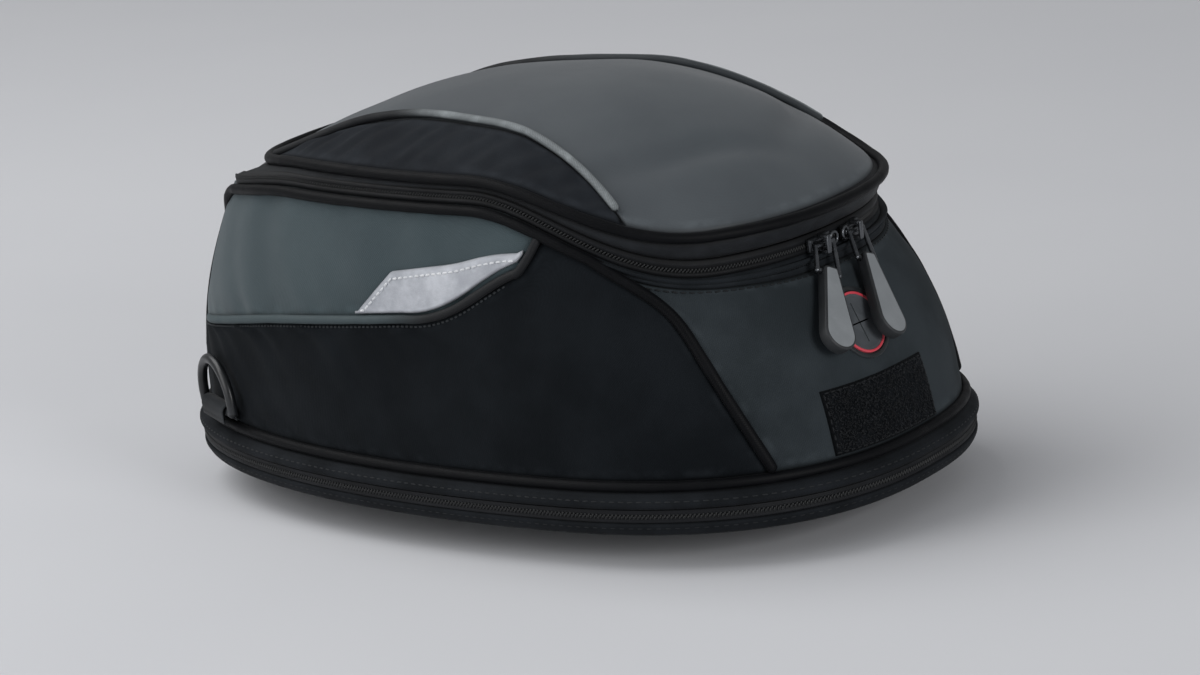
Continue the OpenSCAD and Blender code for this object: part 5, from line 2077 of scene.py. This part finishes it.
@dataclass
class ZipPulls:
    """Sliders, wire bails and rubber grips of the main zip."""

    run_r: float = 112.0
    run_x: float = 13.0
    gap: float = 0.8
    pin_x: float = 3.6
    lean: float = 33.0
    bail_l: float = 12.0
    grip_l: float = 34.0
    grip_w: float = 13.5
    grip_t: float = 4.6
    head_r: float = 3.2
    eye_r: float = 1.2
    eye_top: float = 2.2
    face_inset: float = 0.9

    def build(self) -> None:
        """Builds both sliders and pulls."""
        for side, y, slant in ((Side.LEFT, -15.0, 30.0), (Side.RIGHT, 5.0, 24.0)):
            self.slider(side, self.run(y))
            self.grip(side, self.pin(y, slant))
            redress(f"pull_bail_{side.word}", Finish.BAIL)

    def run(self, y: float) -> Matrix:
        """Frame on the zip in mm: x outwards, y along the zip."""
        return (Matrix.Translation((self.run_x, 0, FORM.zip_rear_z))
                @ Matrix.Rotation(math.asin(y / self.run_r), 4, "Z")
                @ Matrix.Translation((self.run_r + self.gap, 0, 0)))

    def pin(self, y: float, slant: float) -> Matrix:
        """Frame of a hanging pull in mm."""
        return (self.run(y) @ Matrix.Translation((self.pin_x, 0, 0))
                @ Matrix.Rotation(math.radians(-self.lean), 4, "Y")
                @ Matrix.Rotation(math.radians(-slant), 4, "X"))

    def slider(self, side: Side, place: Matrix) -> None:
        """Cast slider: waisted body, flange lips and a bridge over the bail's pin.

        Args:
            side: Side of the bag.
            place: Frame on the zip in mm.
        """
        body = block((2.0, 12, 6.5), (1.0, 0, 0), 0.6)
        for vert in body.data.vertices:
            _, y, z = vert.co
            vert.co.z = z * (1.0 - 0.22 * max(0.0, -y / 6) - 0.12 * math.exp(-(y / 2.2) ** 2))
        press(body, lambda f: f.normal.x > 0.9, 0.8, (0.45, 0, 0))
        posts = [block((3.6, 2.4, 1.35), (3.7, 0, z), 0.35) for z in (-2.75, 2.75)]
        bridge = block((1.1, 2.4, 6.8), (5.75, 0, 0), 0.45)
        lock = block((1.0, 5.0, 2.2), (2.5, -3.2 * side.value, 0), 0.4)
        deselect()
        bpy.ops.mesh.primitive_torus_add(
            location=(2.9, -6.6 * side.value, 0.6), rotation=(0, math.pi / 2, 0),
            major_segments=28, minor_segments=10, major_radius=2.0, minor_radius=0.6)
        eye = active()
        obj = settle(join([body, *posts, bridge, lock, eye]), f"zip_slider_cast_{side.word}", place)
        dress(obj, Finish.GUNMETAL, f"runner_{side.word}", "slider_metal", f"zip_slider_{side.word}")

    def grip(self, side: Side, pin: Matrix) -> None:
        """Rubber paddle grip: outline from a disc, drawn out, chamfered, with a raised flat face.

        Args:
            side: Side of the bag.
            pin: Frame of the hanging pull in mm.
        """
        obj = disc(1.0, 64)
        foot_r = self.grip_w / 2
        high, low = self.eye_top - self.head_r, self.eye_top + foot_r - self.grip_l
        slope = (foot_r - self.head_r) / (high - low)
        for vert in obj.data.vertices:
            a = math.atan2(vert.co.y, vert.co.x)
            c, s = math.cos(a), math.sin(a)
            if s > slope:
                across, up = float(curve(c, 0.5)), float(curve(s, 0.6))
                vert.co = (self.head_r * across, high + 0.85 * self.head_r * up, -self.grip_t / 2)
            else:
                vert.co = (foot_r * c, low + foot_r * s, -self.grip_t / 2)
        pick(obj)
        extrude_up(self.grip_t)
        face_out()
        for sign in (1, -1):
            pick(obj, lambda f: sign * f.normal.z > 0.9)
            bpy.ops.mesh.inset(thickness=self.face_inset)
        pick(obj, lambda f: abs(f.normal.z) < 0.5)
        bpy.ops.mesh.region_to_loop()
        bpy.ops.mesh.bevel(offset=0.75, segments=3, affect="EDGES")
        leave()
        cut(obj, rod(self.eye_r, 40, (0, 0, 0), (0, math.pi / 2, 0), 0.1))
        turn = Matrix(((0, 0, 1, 0), (1, 0, 0, 0), (0, 1, 0, -self.bail_l), (0, 0, 0, 1)))
        obj = settle(obj, f"pull_grip_rubber_{side.word}", pin @ turn, 35)
        obj.data.materials.append(Finish.GRIP.material())
        obj.data.materials.append(Finish.GRIP_FACE.material())
        way = (pin @ turn).to_3x3().col[2]
        for face in obj.data.polygons:
            face.material_index = 1 if abs(face.normal.dot(way)) > 0.97 and face.area > 4e-6 else 0
        dress(obj, Finish.GRIP, f"grip_{side.word}", "grip", f"pull_grip_{side.word}")


@dataclass
class Studio:
    """Pale floor, soft light and the camera; each lamp is its name, place, aim, size and power."""

    camera_at: Place = (1.0178, -1.4802, 0.5082)
    right: Place = (0.8385, 0.5362, -0.0963)
    up: Place = (-0.0542, 0.2579, 0.9646)
    back: Place = (0.5421, -0.8037, 0.2453)
    lens: float = 150.0
    sensor: float = 36.0
    floor_size: float = 16.0
    world_colour: Colour = (0.72, 0.73, 0.75, 1.0)
    world_power: float = 0.37
    lamps: tuple[tuple[str, Place, Place, float, float], ...] = (
        ("key", (1.9, -0.8, 0.62), (0, 0, 0.08), 0.8, 19.0),
        ("top", (-1.0, -0.3, 1.5), (0, 0, 0.1), 1.5, 20.0),
        ("fill", (-1.1, -1.6, 0.8), (0, 0, 0.08), 1.4, 14.0))

    def build(self) -> None:
        """Builds the stage."""
        self.camera()
        self.floor()
        self.lights()
        bpy.context.scene.view_settings.view_transform = "Standard"

    def camera(self) -> None:
        """Camera at the photograph's angle."""
        data = bpy.data.cameras.new("camera")
        data.lens, data.sensor_width = self.lens, self.sensor
        obj = bpy.data.objects.new("camera", data)
        turn = Matrix((self.right, self.up, self.back)).transposed()
        obj.matrix_world = Matrix.Translation(self.camera_at) @ turn.to_4x4()
        bpy.context.collection.objects.link(obj)
        bpy.context.scene.camera = obj

    def floor(self) -> None:
        """Pale floor with a faint mottling."""
        deselect()
        bpy.ops.mesh.primitive_plane_add(size=self.floor_size)
        obj = active()
        obj.name = "studio_floor"
        sh = Shader("floor_pale")
        colour = sh.mix(sh.noise(220.0, 2.0), shade("#cccdd1"), shade("#d2d3d6"))
        obj.data.materials.append(sh.finish({"Base Color": colour}, {"Roughness": 0.9}))

    def lights(self) -> None:
        """Key light from the right, a soft top light, a low fill and an even pale world."""
        for name, spot, aim, size, power in self.lamps:
            data = bpy.data.lights.new(name, "AREA")
            data.size, data.energy = size, power
            obj = bpy.data.objects.new(name, data)
            obj.location = spot
            obj.rotation_euler = (Vector(spot) - Vector(aim)).to_track_quat("Z", "Y").to_euler()
            bpy.context.collection.objects.link(obj)
        world = bpy.data.worlds.new("studio_world")
        bpy.context.scene.world = world
        world.use_nodes = True
        ground = next(n for n in world.node_tree.nodes if n.type == "BACKGROUND")
        ground.inputs[0].default_value = self.world_colour
        ground.inputs[1].default_value = self.world_power


def main() -> None:
    """Builds the bag and its stage."""
    logging.basicConfig(level=logging.INFO, format="%(message)s")
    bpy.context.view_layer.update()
    for assembly in (Studio(), Base(), Shell(), CablePort(), DRings(), Lid(), ZipPulls()):
        assembly.build()


if __name__ == "__main__":
    main()
